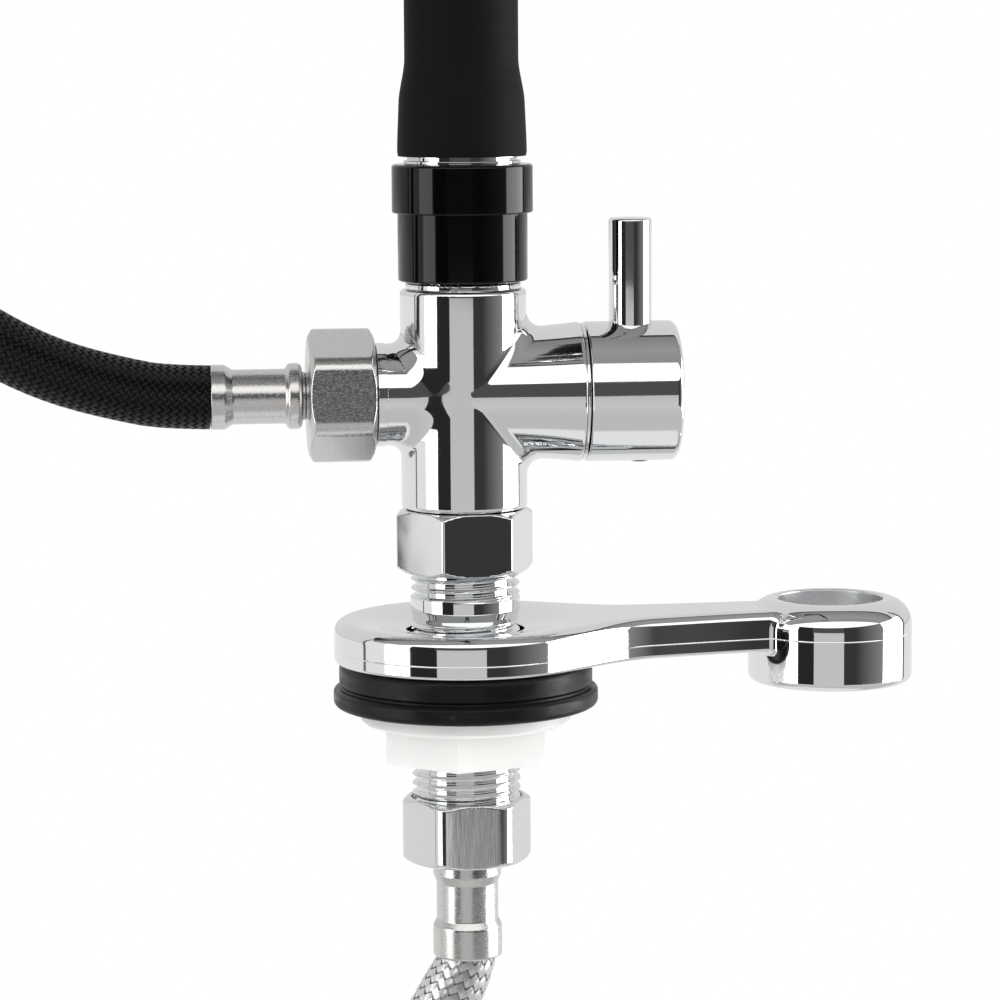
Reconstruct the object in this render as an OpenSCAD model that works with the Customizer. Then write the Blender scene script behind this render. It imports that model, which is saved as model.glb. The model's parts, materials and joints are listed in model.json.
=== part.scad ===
// Pre rinse faucet: a deck-mounted lever valve, a rubber-covered gooseneck arm and a hand spray on a
// braided hose.
// Millimetres. +Z is up, z = 0 is the deck, the shank stands on the Z axis, the valve knob points along +X.

/* [Valve body] */
// Height of the side ports' axis above the deck
port_z = 60; // [58:0.5:64]
// Radius of the upright body tube
tube_r = 12.05; // [11.8:0.05:13]
// Lower end of the body tube
tube_bottom = 38.1; // [37:0.1:40]
// Upper end of the body tube
tube_top = 80.1; // [79:0.1:84]
// Radius of the bright neck under the arm's sleeve
neck_r = 11; // [10:0.1:11.5]
// Height of the bright neck under the arm's sleeve
neck_h = 1.2; // [0.8:0.1:2]
// Radius of the left port's turned neck
left_port_r = 9.7; // [9.2:0.1:11]
// Reach of the left port's shoulder from the body axis
left_port_x = 17; // [16:0.1:20]
// Radius of the right port where it leaves the body
right_port_r = 11.9; // [11.4:0.1:12.6]
// Radius of the right port's flared rim
right_rim_r = 13.4; // [13:0.1:14.2]
// Distance from the body axis at which the right port starts to flare
flare_x = 1; // [1:0.1:14]
// Reach of the right port's rim from the body axis
right_port_x = 22.3; // [21:0.1:25]
// Radius of the water ways in the body and the shank
water_r = 5; // [4:0.1:5.6]

/* [Shank and deck parts] */
// Outside radius of the half-inch pipe thread
shank_r = 10.48; // [10.3:0.01:10.6]
// Pitch of the half-inch pipe thread
shank_pitch = 1.814; // [1.6:0.001:2.2]
// Depth of the pipe thread
thread_depth = 1.16; // [0.8:0.01:1.2]
// Lower end of the shank
shank_bottom = -25.4; // [-32:0.1:-22]
// Top of the plain band on the shank
band_top = 20.9; // [19:0.1:22]
// Height of the plain band on the shank
band_h = 4.5; // [3:0.1:6]
// Bottom of the shank's hexagon
shank_hex_bottom = 25.9; // [24:0.1:28]
// Flats of the shank's hexagon
shank_hex_af = 23.3; // [22:0.1:25]
// Turn of the shank's hexagon about the shank
shank_hex_turn = 6.7; // [0:0.1:60]
// Radius of the base plate's disc
plate_r = 25.3; // [24:0.1:30]
// Underside of the base plate, the height of the seal
plate_z = 8.6; // [7:0.1:10]
// Thickness of the base plate at its rim
plate_h = 8; // [6:0.1:9]
// Depth of the dished top of the base plate
dish_depth = 2.1; // [0.5:0.1:2.5]
// Radius of the shank hole in plate and seal
plate_hole_r = 11.3; // [11:0.1:12]
// Distance from the shank to the spray rest's centre
arm_reach = 73.5; // [66:0.5:90]
// Turn of the arm about the shank
arm_turn = 7; // [-30:1:30]
// Half width of the arm at the disc
arm_half_root = 10.5; // [9:0.1:13]
// Half width of the arm at the spray rest
arm_half_tip = 8; // [6.5:0.1:10]
// Outside radius of the spray rest
rest_r = 16.1; // [15:0.1:19]
// Radius of the spray rest's bore
rest_bore_r = 10.35; // [9:0.05:11]
// Underside of the spray rest
rest_bottom = 1.4; // [0.5:0.1:4]
// Top of the spray rest
rest_top = 17.7; // [16:0.1:19]
// Radius of the rubber seal's flange
seal_r = 25.5; // [24.5:0.1:30]
// Height of the rubber seal's flange
seal_flange_h = 3.4; // [2.5:0.1:4.5]
// Radius of the white backnut's flange
backnut_flange_r = 20.2; // [19:0.1:22]
// Height of the white backnut's flange
backnut_flange_h = 3.3; // [2.5:0.1:4]
// Height of the white backnut
backnut_h = 10.6; // [9:0.1:12]
// Flats of the white backnut
backnut_af = 29.1; // [27:0.1:31]

/* [Knob and valve] */
// Radius of the knob
knob_r = 13.4; // [12.6:0.1:16]
// Length of the knob
knob_l = 17.6; // [16:0.1:22]
// Gap between the valve's bezel and the knob
knob_gap = 0.3; // [0.3:0.05:0.6]
// Radius of the lever pin
pin_r = 4.1; // [3:0.1:5]
// Free length of the lever pin above the knob
pin_l = 19.7; // [15:0.1:40]
// Place of the lever pin along the knob
pin_along = 8.9; // [7:0.1:10]
// Radius of the valve cartridge
cartridge_r = 9.2; // [8.6:0.1:9.8]
// Radius of the valve spindle
spindle_r = 3.5; // [3:0.1:4]

/* [Hose ends] */
// Flats of the union nuts
nut_af = 22.9; // [22.4:0.1:26]
// Length of the union nuts
nut_l = 12.6; // [11.5:0.1:14]
// Radius to which the union nuts' corners are rounded off
nut_corner_r = 12.65; // [12.6:0.05:15]
// Length of the crimped ferrule beyond the nut's neck
ferrule_l = 17.4; // [15.5:0.1:20]
// Radius of the crimped ferrule
ferrule_r = 5.2; // [5:0.05:6]
// Radius of the ferrule's mouth
mouth_r = 6.15; // [6.1:0.05:7]
// Radius of the ferrule's bead beside the nut
bead_r = 6.3; // [6:0.05:7]
// Outside radius of both hoses
hose_r = 6.1; // [5.6:0.05:6.15]

/* [Arm] */
// Radius of the arm's rubber cover
cover_r = 10.9; // [10.7:0.05:12]
// Wall of the arm's rubber cover
cover_wall = 1; // [0.8:0.05:1.1]
// Radius of the cover's swollen end
cover_end_r = 12.45; // [12.2:0.05:13]
// Height where the arm's straight part ends
arm_straight_z = 400; // [300:5:500]
// Radius of the arm's bend
arm_bend_r = 75; // [50:1:100]
// Forward reach of the hand spray's axis
spray_reach = 175; // [165:1:230]
// Radius of the sleeve's lower step
sleeve_low_r = 12.35; // [12:0.05:13]
// Radius of the sleeve's upper step
sleeve_top_r = 13.4; // [13:0.05:14.5]
// Height of the sleeve's lower step
sleeve_low_h = 12.9; // [11:0.1:16]
// Height of the sleeve's upper step
sleeve_top_h = 9.2; // [7:0.1:12]
// Radius of the post on which the sleeve turns
post_r = 8; // [7:0.1:8.6]

/* [Hand spray] */
// Radius of the grip
grip_r = 14; // [12:0.1:15]
// Length of the grip
grip_l = 88; // [80:1:100]
// Radius of the neck held by the fork
fork_neck_r = 8; // [7:0.1:9]
// Thickness of the fork
fork_h = 6; // [5:0.1:8]
// Radius of the spray face
face_r = 17.5; // [15:0.1:22]
// Travel that the trigger leaves room for, in degrees
trigger_travel = 10; // [6:0.5:11]
// Height of the stem above the trigger's pivot
stem_rise = 18; // [16:0.1:20]
// Radius of the valve stem
stem_r = 2.5; // [2:0.1:3]

/* [Hidden] */
$fn = 64;

// Fits
fit = 0.05;           // running clearance on a radius
loose = 0.15;         // clearance between pieces of one body
gap = 0.3;            // clearance between pieces that move apart
overlap = 0.01;       // lets cuts pass a face

// Body
neck_top = tube_top + neck_h;
post_top = neck_top + 14.6;
groove_z = neck_top + 8.6;
groove_h = 2.4;
ring_groove_z = neck_top + 11.4;
left_thread_r = 8.3;
left_thread_x = left_port_x + 9;
socket_r = cartridge_r + 0.1;
socket_x = 6.2;
flare = right_rim_r - right_port_r;
rim_edge = 0.4;
flare_l = right_port_x - rim_edge - flare_x;
nut_seat_x = right_port_x - 5;
port_thread_r = 10.5;
gallery_r = 2.2;
gallery_z = port_z + 11.4;
gallery_x = 9.3;
stub_r = 8.3;
stub_l = 8.6;
half_pitch = 1.337;
half_depth = 0.856;

// Shank
shank_hex_top = tube_bottom - 0.1;
shank_bore_r = water_r + 1;
band_bottom = band_top - band_h;

// Plate
plate_top = plate_z + plate_h;
plate_edge = 2.3;
seal_recess = 0.5;      // the lip seals outside the backnut
rest_shoulder = 5;

// Knob
bezel_t = 0.6;
housing_neck_r = 6.4;
knob_x = right_port_x + bezel_t + knob_gap;
knob_edge = 1.4;
pin_x = knob_x + pin_along;
pin_z = port_z + spindle_r + 2.2;
grub_x = knob_x + 10.6;
grub_r = 1.9;
grub_proud = 0.15;
grub_edge = 0.3;
disc_x = socket_x + 2.15;
disc_r = 6.2;
disc_t = 1.8;
spindle_end = knob_x + 13.6;
housing_neck_x = knob_x + 3.8;
knob_cavity_l = 7.4;

// Hose ends, measured along each hose from the nut's open face
insert_gap = 0.9;     // wall of the nut round the insert's neck
washer_at = 8.8;
washer_t = 1.5;
end_collar_r = 8;
insert_neck_r = 3.9;
neck_l = 1.1;
bead_edge = 1.3;
end_ring_r = 0.24;
hose_start = nut_l + neck_l + ferrule_l;
hose_nut_turn = 3.9;
spray_nut_turn = 20;
supply_nut_turn = -3.4;

// Supply hose end under the shank
supply_nut_top = shank_bottom + 7.4;
supply_bore_r = shank_r + 0.05;
supply_neck_r = 5.4;
supply_ferrule_l = 18.6;
supply_ferrule_r = 6.06;
supply_mouth_r = 6.8;

// Supply hose end at the bottom
end_x = -43;
end_mouth_z = -296;
end_nut_top = end_mouth_z - supply_ferrule_l - 0.4;
end_bore_r = 9.4;

// Arm
sleeve_z = neck_top + gap;
sleeve_step_z = sleeve_z + sleeve_low_h;
sleeve_top = sleeve_step_z + sleeve_top_h;
arm_socket_z = post_top + 0.6;
arm_ferrule_r = 10.45;
cover_z = sleeve_top + 1.4;
cover_seat_h = 12;
cover_taper_h = 5.5;
core_r = cover_r - cover_wall;
arm_top = arm_straight_z + arm_bend_r;
cover_end_y = spray_reach - 47;       // forward end of the cover
cap_y = cover_end_y + 1.8;
cap_l = 16;
stud_r = 4;
fork_slot_r = fork_neck_r + gap;
fork_ring_r = fork_slot_r + 5.5;
clip_z = arm_straight_z - 21;
clip_h = 12;
clip_x = -21;

// Hand spray, heights from the fork
fork_z = arm_top - fork_h / 2;
fork_top = fork_z + fork_h;
collar_r = 11;
collar_top = fork_top + gap + 5.5;
spray_nut_z = fork_top + 6.2;
flange_bottom = fork_z - gap - 5.6;
grip_top = flange_bottom - 0.2;
grip_bottom = grip_top - grip_l;
handle_r = 9;
block_top = grip_bottom - 0.2;
block_r = 14;
stem_z = block_top - 24;
pivot_z = stem_z - stem_rise;
pivot_y = -spray_reach - 19;
block_bottom = stem_z - 15;
outlet_bottom = block_bottom - 14;
bell_bottom = outlet_bottom - 20;
bell_r = face_r + 2.3;
stem_end_y = -22;
lever_foot_y = stem_end_y - 0.5;
lever_t = 3.2;
lever_w = 11.4;
ear_x = lever_w / 2 + 0.4;
ear_t = 3;
hub_r = 4.4;
seat_y = 0.8;
poppet_r = 5.2;
spring_front = 4.4;
spring_back = 13;

// Inner face of the lever, h above the pivot: it stays clear of the grip through the trigger's travel
function lever_y(h) = -(grip_r + 3.4 + h * tan(trigger_travel));

// Hose routes, points chosen by hand
LOWER_RUN = [
    [-48.3, 0, 60], [-55, 0, 60.3], [-62, 0, 61.2], [-76, 0, 65], [-88, 0, 70.6], [-100, 0, 78.8],
    [-110, 0, 89], [-118, 0, 100.5], [-124, 0, 113.4], [-127.3, 0, 127], [-128.4, 0, 142], [-126, 0, 169],
    [-118.3, 0, 197], [-106, 0, 223.5], [-90, 0, 246.5], [-75, 0, 262.5], [-60, 0, 278], [-43.5, 0, 301.5],
    [-31, 0, 328], [-24.4, 0, 352], [-21.3, 0, 371], [-21, 0, 378], [-21, 0, 385]
];
UPPER_RUN = [
    [-21, 0, 385], [-21, 0, 415], [-21, 0, 450], [-21, 0, 485], [-21, 0, 515], [-20.6, -3, 538],
    [-19.6, -11.7, 559],
    [-17.9, -25.6, 577.3], [-15.8, -43.7, 591.3], [-13.2, -64.8, 600.1], [-10.5, -87.5, 603.2],
    [-7.8, -110.1, 600.1], [-5.3, -131.2, 591.3], [-3.1, -149.3, 577.3], [-1.4, -163.2, 559],
    [-0.4, -171.9, 538], [0, -175, 515.3]
];
SUPPLY_RUN = [
    [0, 0, -49.6], [-0.8, 0, -52], [-2.2, 0, -55], [-4.1, 0, -58.5], [-7.2, 0, -63.8], [-11.8, 0, -71.5],
    [-18.2, 0, -83], [-25.4, 0, -98], [-31.8, 0, -115], [-36.8, 0, -134], [-40.4, 0, -156], [-42.3, 0, -180],
    [-43, 0, -206], [-43, 0, -236], [-43, 0, -266], [-43, 0, -296]
];
hose_sides = 10;

// Points of an arc about [cx, cy]
function arc(cx, cy, r, a0, a1, n = 6) =
    [for (i = [0:n]) [cx + r * cos(a0 + (a1 - a0) * i / n), cy + r * sin(a0 + (a1 - a0) * i / n)]];

// Zigzag flank of a thread from z0 up to z1, as [radius, z] points
function flank(r, z0, z1, pitch = shank_pitch, depth = thread_depth) =
    let (turns = floor((z1 - z0) / pitch), lead = (z1 - z0 - turns * pitch) / 2)
    concat(
        [[r - depth, z0], [r - depth, z0 + lead]],
        [for (i = [0:turns - 1]) each [
            [r - depth, z0 + lead + pitch * (i + 0.08)], [r, z0 + lead + pitch * (i + 0.44)],
            [r, z0 + lead + pitch * (i + 0.56)], [r - depth, z0 + lead + pitch * (i + 0.92)]
        ]],
        [[r - depth, z1 - lead], [r - depth, z1]]
    );

module along_x(z = port_z) translate([0, 0, z]) rotate([0, 90, 0]) children();
module along_left(z = port_z) translate([0, 0, z]) rotate([0, -90, 0]) children();
module along_front(y, z) translate([0, -y, z]) rotate([90, 0, 0]) children();
module at_spray(z = 0) translate([0, -spray_reach, z]) children();
module spin(points) rotate_extrude() polygon(points);

module ring(r_out, r_in, z, h) translate([0, 0, z]) difference() {
    cylinder(r = r_out, h = h);
    translate([0, 0, -overlap]) cylinder(r = r_in, h = h + 2 * overlap);
}

module torus(major, minor, z)
    translate([0, 0, z]) rotate_extrude() translate([major, 0]) circle(r = minor, $fn = 24);

// Hexagon with its corners turned off to corner_r and both ends chamfered
module hexagon(af, corner_r, z, h, chamfer = 0.9) intersection() {
    translate([0, 0, z]) cylinder(r = af / sqrt(3), h = h, $fn = 6);
    spin([
        [0, z], [corner_r - chamfer * 1.7, z], [corner_r, z + chamfer],
        [corner_r, z + h - chamfer], [corner_r - chamfer * 1.7, z + h], [0, z + h]
    ]);
}

function unit(v) = v / norm(v);
function heading(p, i) =
    unit(p[min(i + 1, len(p) - 1)] - p[max(i - 1, 0)]);

// Solid tube swept along a flat route; side is the normal of the route's plane, first and last its end
// headings
module hose_tube(route, side, first, last) {
    n = len(route);
    rings = [for (i = [0:n - 1])
        let (t = i == 0 ? first : i == n - 1 ? last : heading(route, i), u = unit(side), v = cross(t, u))
        each [for (k = [0:hose_sides - 1])
            route[i] + hose_r * (cos(360 * k / hose_sides) * u + sin(360 * k / hose_sides) * v)]];
    walls = [for (i = [0:n - 2]) each [for (k = [0:hose_sides - 1])
        let (a = i * hose_sides + k, b = i * hose_sides + (k + 1) % hose_sides)
        each [[a, b, b + hose_sides], [a, b + hose_sides, a + hose_sides]]]];
    cap0 = [for (k = [1:hose_sides - 2]) [0, k + 1, k]];
    base = (n - 1) * hose_sides;
    cap1 = [for (k = [1:hose_sides - 2]) [base, base + k, base + k + 1]];
    polyhedron(rings, [for (f = concat(cap0, walls, cap1)) [f[0], f[2], f[1]]]);
}

// ---- Valve body ----

module cross_outside() {
    translate([0, 0, tube_bottom]) cylinder(r = tube_r, h = tube_top - tube_bottom);
    translate([0, 0, tube_top - overlap]) cylinder(r = neck_r, h = neck_h + overlap);
    spin([
        [0, neck_top - overlap], [post_r, neck_top - overlap], [post_r, groove_z - groove_h / 2],
        [post_r - 1, groove_z - groove_h / 2], [post_r - 1, groove_z + groove_h / 2],
        [post_r, groove_z + groove_h / 2],
        [post_r, ring_groove_z], [post_r - 1.2, ring_groove_z], [post_r - 1.2, ring_groove_z + 1.5],
        [post_r, ring_groove_z + 1.5], [post_r, post_top - 0.5], [post_r - 0.5, post_top], [0, post_top]
    ]);
    along_left() spin(concat(
        [[0, 0], [left_port_r + 1.8, 0], [left_port_r + 1.8, left_port_x - 5]],
        arc(left_port_r + 2.2, left_port_x - 2.5, 2.2, 240, 180, 4),
        [[left_port_r, left_port_x - 1.2], [left_port_r - 0.3, left_port_x - 1.2],
        [left_port_r - 0.3, left_port_x]],
        flank(left_thread_r, left_port_x, left_thread_x, half_pitch, half_depth),
        [[0, left_thread_x]]
    ));
    along_x() spin(concat(
        [[0, 0], [right_port_r, 0]],
        [for (t = [0:1/6:1]) [right_port_r + flare * pow(t, 1.5), flare_x + flare_l * t]],
        [[right_rim_r - rim_edge, right_port_x], [0, right_port_x]]
    ));
}

module cross_water() {
    translate([0, 0, tube_bottom - overlap]) cylinder(r = stub_r + fit, h = stub_l + 0.5);
    translate([0, 0, tube_bottom]) cylinder(r = water_r, h = port_z - tube_bottom + 2);
    along_x() translate([0, 0, socket_x]) cylinder(r = socket_r, h = right_port_x);
    along_x() translate([0, 0, nut_seat_x]) cylinder(r = port_thread_r + fit, h = right_port_x);
    along_x() cylinder(r = 3.6, h = socket_x + 1);
    along_left() translate([0, 0, water_r + 2.6]) cylinder(r = water_r, h = left_thread_x);
    for (x = [-gallery_x, gallery_x]) translate([x, 0, port_z])
        cylinder(r = gallery_r, h = gallery_z - port_z);
    translate([-gallery_x, 0, gallery_z]) rotate([0, 90, 0]) cylinder(r = gallery_r, h = 2 * gallery_x);
}

module cross_body() {
    color("#d9dcde") difference() {
        cross_outside();
        cross_water();
    }
}

module inlet_shank() {
    color("#d9dcde") difference() {
        union() {
            spin(concat(
                [[0, shank_bottom]],
                flank(shank_r, shank_bottom, band_bottom),
                [
                    [shank_r - 0.35, band_bottom], [shank_r - 0.15, band_bottom + 2],
                    [shank_r + 0.07, band_bottom + 2], [shank_r + 0.07, band_top]
                ],
                flank(shank_r, band_top, shank_hex_bottom),
                [[shank_r - thread_depth, shank_hex_bottom + 1], [0, shank_hex_bottom + 1]]
            ));
            rotate([0, 0, shank_hex_turn])
                hexagon(shank_hex_af, shank_hex_af / sqrt(3) - 0.3, shank_hex_bottom,
                    shank_hex_top - shank_hex_bottom, 0.8);
            spin(concat(
                [[0, shank_hex_top - overlap]],
                flank(stub_r, shank_hex_top - overlap, shank_hex_top + stub_l, half_pitch, half_depth),
                [[0, shank_hex_top + stub_l]]
            ));
        }
        translate([0, 0, shank_bottom - overlap])
            cylinder(r = shank_bore_r, h = shank_hex_top + stub_l - shank_bottom + 1);
    }
}

// ---- Deck parts ----

// The arm's outline at one height, narrowed by inset along both sides
module arm_slab(z, inset, h = 0.1) translate([0, 0, z]) linear_extrude(h) polygon([
    [plate_hole_r + 2, -arm_half_root + inset], [plate_r + 8, -arm_half_root + inset],
    [arm_reach - rest_r + 2, -arm_half_tip + inset], [arm_reach - rest_bore_r - 1, -arm_half_tip + inset],
    [arm_reach - rest_bore_r - 1, arm_half_tip - inset], [arm_reach - rest_r + 2, arm_half_tip - inset],
    [plate_r + 8, arm_half_root - inset], [plate_hole_r + 2, arm_half_root - inset]
]);

// Concave corner between the disc and one side of the arm
module root_fillet(side) {
    r = 9;
    y = arm_half_root + r;
    x = sqrt((plate_r + r) * (plate_r + r) - y * y);
    translate([0, 0, plate_z]) linear_extrude(plate_h - 2) difference() {
        polygon([
            [x * 0.6, side * 5], [x, side * 5], [x, side * (y - r)],
            [x * plate_r / (plate_r + r), side * y * plate_r / (plate_r + r)]
        ]);
        translate([x, side * y]) circle(r = r);
    }
}

module base_plate() {
    color("#d9dcde") difference() {
        union() {
            spin(concat(
                [[0, plate_z], [plate_r - 0.5, plate_z], [plate_r, plate_z + 0.5]],
                arc(plate_r - plate_edge, plate_top - plate_edge, plate_edge, 0, 90),
                [[0, plate_top]]
            ));
            rotate([0, 0, arm_turn]) {
                hull() {
                    arm_slab(plate_z, 0.5);
                    arm_slab(plate_z + 0.5, 0);
                    arm_slab(plate_top - 3, 0);
                    arm_slab(plate_top - 1.3, 0.8);
                    arm_slab(plate_top - 0.2, 2.8);
                }
                root_fillet(1);
                root_fillet(-1);
                translate([arm_reach, 0, 0]) spin(concat(
                    [[0, rest_bottom], [rest_r - 1.6, rest_bottom]],
                    arc(rest_r - 1.6, rest_bottom + 1.6, 1.6, -90, 0, 4),
                    arc(rest_r - rest_shoulder, rest_top - rest_shoulder, rest_shoulder, 0, 90, 8),
                    [[0, rest_top]]
                ));
            }
        }
        translate([0, 0, plate_z - overlap]) cylinder(r = plate_hole_r, h = plate_h + 1);
        spin([
            [0, plate_top - dish_depth], [plate_hole_r + 0.8, plate_top - dish_depth],
            [plate_r - plate_edge - 0.3, plate_top - 0.05], [plate_r - plate_edge - 0.3, plate_top + 1],
            [0, plate_top + 1]
        ]);
        rotate([0, 0, arm_turn]) translate([arm_reach, 0, rest_bottom - overlap])
            cylinder(r = rest_bore_r, h = rest_top - rest_bottom + 1);
    }
}

module deck_seal() {
    upper_r = seal_r - 1.2;
    lip_r = backnut_flange_r + 0.7;
    color("#17181a") difference() {
        spin([
            [0, seal_recess], [lip_r, seal_recess], [lip_r, 0], [seal_r - 0.5, 0], [seal_r, 0.6],
            [seal_r, seal_flange_h - 0.6], [seal_r - 0.5, seal_flange_h],
            [upper_r - 1, seal_flange_h], [upper_r - 1, seal_flange_h + 0.6], [upper_r, seal_flange_h + 1],
            [upper_r, plate_z - 0.8], [upper_r - 0.8, plate_z], [0, plate_z]
        ]);
        translate([0, 0, -overlap]) cylinder(r = plate_hole_r, h = plate_z + 1);
    }
}

module backnut() {
    color("#f2f2ee") difference() {
        union() {
            spin([
                [0, -backnut_flange_h], [backnut_flange_r - 0.6, -backnut_flange_h],
                [backnut_flange_r, -backnut_flange_h + 0.6], [backnut_flange_r, -0.3],
                [backnut_flange_r - 0.3, 0], [0, 0]
            ]);
            rotate([0, 0, 19]) translate([0, 0, -backnut_h])
                cylinder(r = backnut_af / sqrt(3), h = backnut_h - backnut_flange_h + overlap, $fn = 6);
        }
        translate([0, 0, -backnut_h - 1]) cylinder(r = shank_r + 0.07, h = backnut_h + 2);
    }
}

// ---- Valve cartridge, along +X ----

module cartridge_housing() {
    waist_r = cartridge_r - 1;
    seal_x = nut_seat_x - 2.3;
    color("#c9a45c") along_x() difference() {
        spin([
            [0, socket_x + 1], [cartridge_r, socket_x + 1], [cartridge_r, socket_x + 2.1],
            [waist_r, socket_x + 2.1],
            [waist_r, seal_x - 0.7], [cartridge_r, seal_x - 0.7], [cartridge_r, seal_x],
            [cartridge_r - 1.1, seal_x],
            [cartridge_r - 1.1, seal_x + 1.4], [cartridge_r, seal_x + 1.4], [cartridge_r, nut_seat_x],
            [housing_neck_r, nut_seat_x], [housing_neck_r, housing_neck_x], [0, housing_neck_x]
        ]);
        translate([0, 0, socket_x]) cylinder(r = 3.6, h = 4);
        translate([0, 0, socket_x + 2.1]) cylinder(r = disc_r + 0.2, h = 7.4);
        translate([0, 0, socket_x + 2]) cylinder(r = spindle_r + fit, h = housing_neck_x);
        for (turn = [0:90:270]) rotate([0, 0, turn]) translate([0, 0, socket_x + 5.4])
            rotate([0, 90, 0]) cylinder(r = 1.1, h = 12);
    }
}

module cartridge_seals() {
    color("#17181a") along_x() {
        ring(cartridge_r - 0.6, 3.7, socket_x + 0.05, 0.9);
        torus(cartridge_r - 0.55, 0.55, nut_seat_x - 1.6);
    }
}

// A ceramic disc with two round ways through it
module ceramic_disc(x, r) along_x() difference() {
    translate([0, 0, x]) cylinder(r = r, h = disc_t);
    for (side = [-1, 1]) translate([0, side * 3.1, x - overlap]) cylinder(r = 1.8, h = disc_t + 1);
}

module fixed_disc() {
    color("#f4f1ea") ceramic_disc(disc_x, disc_r + 0.15);
}

module moving_disc() {
    color("#e8e4da") ceramic_disc(disc_x + disc_t + gap, disc_r - 0.1);
}

module cartridge_nut() {
    color("#eceef0") along_x() difference() {
        union() {
            translate([0, 0, nut_seat_x + 0.05]) cylinder(r = port_thread_r, h = right_port_x - nut_seat_x);
            translate([0, 0, right_port_x + 0.05]) cylinder(r = right_rim_r - 0.5, h = bezel_t - 0.05);
        }
        translate([0, 0, nut_seat_x - 1]) cylinder(r = housing_neck_r + fit, h = 12);
    }
}

module valve_spindle() {
    foot_x = disc_x + 2 * disc_t + gap;
    color("#c9a45c") along_x() {
        translate([0, 0, foot_x]) cylinder(r = disc_r - 0.4, h = 1.8);
        translate([0, 0, foot_x + 1]) cylinder(r = spindle_r, h = spindle_end - foot_x - 1);
    }
}

module knob() {
    color("#d9dcde") difference() {
        along_x() difference() {
            spin(concat(
                [[0, knob_x], [knob_r - 0.3, knob_x], [knob_r, knob_x + 0.3]],
                arc(knob_r - knob_edge, knob_x + knob_l - knob_edge, knob_edge, 0, 90),
                [[0, knob_x + knob_l]]
            ));
            translate([0, 0, knob_x - overlap]) cylinder(r = 8.2, h = knob_cavity_l);
            translate([0, 0, knob_x]) cylinder(r = spindle_r + fit, h = spindle_end - knob_x + 0.4);
        }
        translate([pin_x, 0, pin_z - 0.1]) cylinder(r = pin_r + fit, h = knob_r);
        translate([grub_x, 0, port_z - knob_r - 1]) cylinder(r = grub_r + fit, h = knob_r + 1 - spindle_r);
    }
}

module lever_pin() {
    top = port_z + knob_r + pin_l;
    color("#d9dcde") translate([pin_x, 0, 0]) spin([
        [0, pin_z], [pin_r - 0.4, pin_z], [pin_r, pin_z + 0.4], [pin_r, top - 0.45], [pin_r - 0.45, top],
        [0, top]
    ]);
}

module knob_grub_screw() {
    length = knob_r + grub_proud - spindle_r - fit;
    color("#6f7479") translate([grub_x, 0, port_z - knob_r - grub_proud]) difference() {
        spin([[0, 0], [grub_r - grub_edge, 0], [grub_r, grub_edge], [grub_r, length], [0, length]]);
        translate([0, 0, -overlap]) cylinder(r = 1, h = 2, $fn = 6);
    }
}

// ---- Hose ends. Each runs along +Z from the nut's open face at z = 0 ----

module union_nut(bore_r, hole_r, turn) {
    rotate([0, 0, turn]) difference() {
        hexagon(nut_af, nut_corner_r, 0, nut_l);
        translate([0, 0, -overlap]) cylinder(r = bore_r, h = nut_l - insert_gap);
        cylinder(r = hole_r, h = nut_l + 1);
    }
}

module end_washer() ring(end_collar_r - 0.2, 4.6, washer_at + 0.05, washer_t - 0.1);

module end_insert() difference() {
    spin([
        [0, washer_at + washer_t], [end_collar_r, washer_at + washer_t],
        [end_collar_r, nut_l - insert_gap - 0.1],
        [insert_neck_r, nut_l - insert_gap - 0.1], [insert_neck_r, nut_l + neck_l],
        [insert_neck_r - 0.4, nut_l + neck_l + 0.5], [insert_neck_r - 0.4, hose_start - 0.3],
        [0, hose_start - 0.3]
    ]);
    cylinder(r = 2.6, h = 60);
}

module end_o_rings() for (i = [0, 1])
    torus(insert_neck_r + end_ring_r + 0.04, end_ring_r, nut_l + 0.07 + end_ring_r + 2 * i * (end_ring_r + 0.02));

module end_ferrule() {
    z = nut_l + neck_l;
    difference() {
        spin(concat(
            [[0, z]],
            arc(bead_r - bead_edge, z + bead_edge, bead_edge, -90, 65, 8),
            [
                [ferrule_r, z + 2.2 * bead_edge], [ferrule_r, hose_start - 4.2],
                [mouth_r - 0.15, hose_start - 2.6], [mouth_r, hose_start - 2.3],
                [mouth_r, hose_start - 0.3], [mouth_r - 0.3, hose_start], [0, hose_start]
            ]
        ));
        translate([0, 0, z - 1]) cylinder(r = insert_neck_r + loose, h = 60);
    }
}

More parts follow.
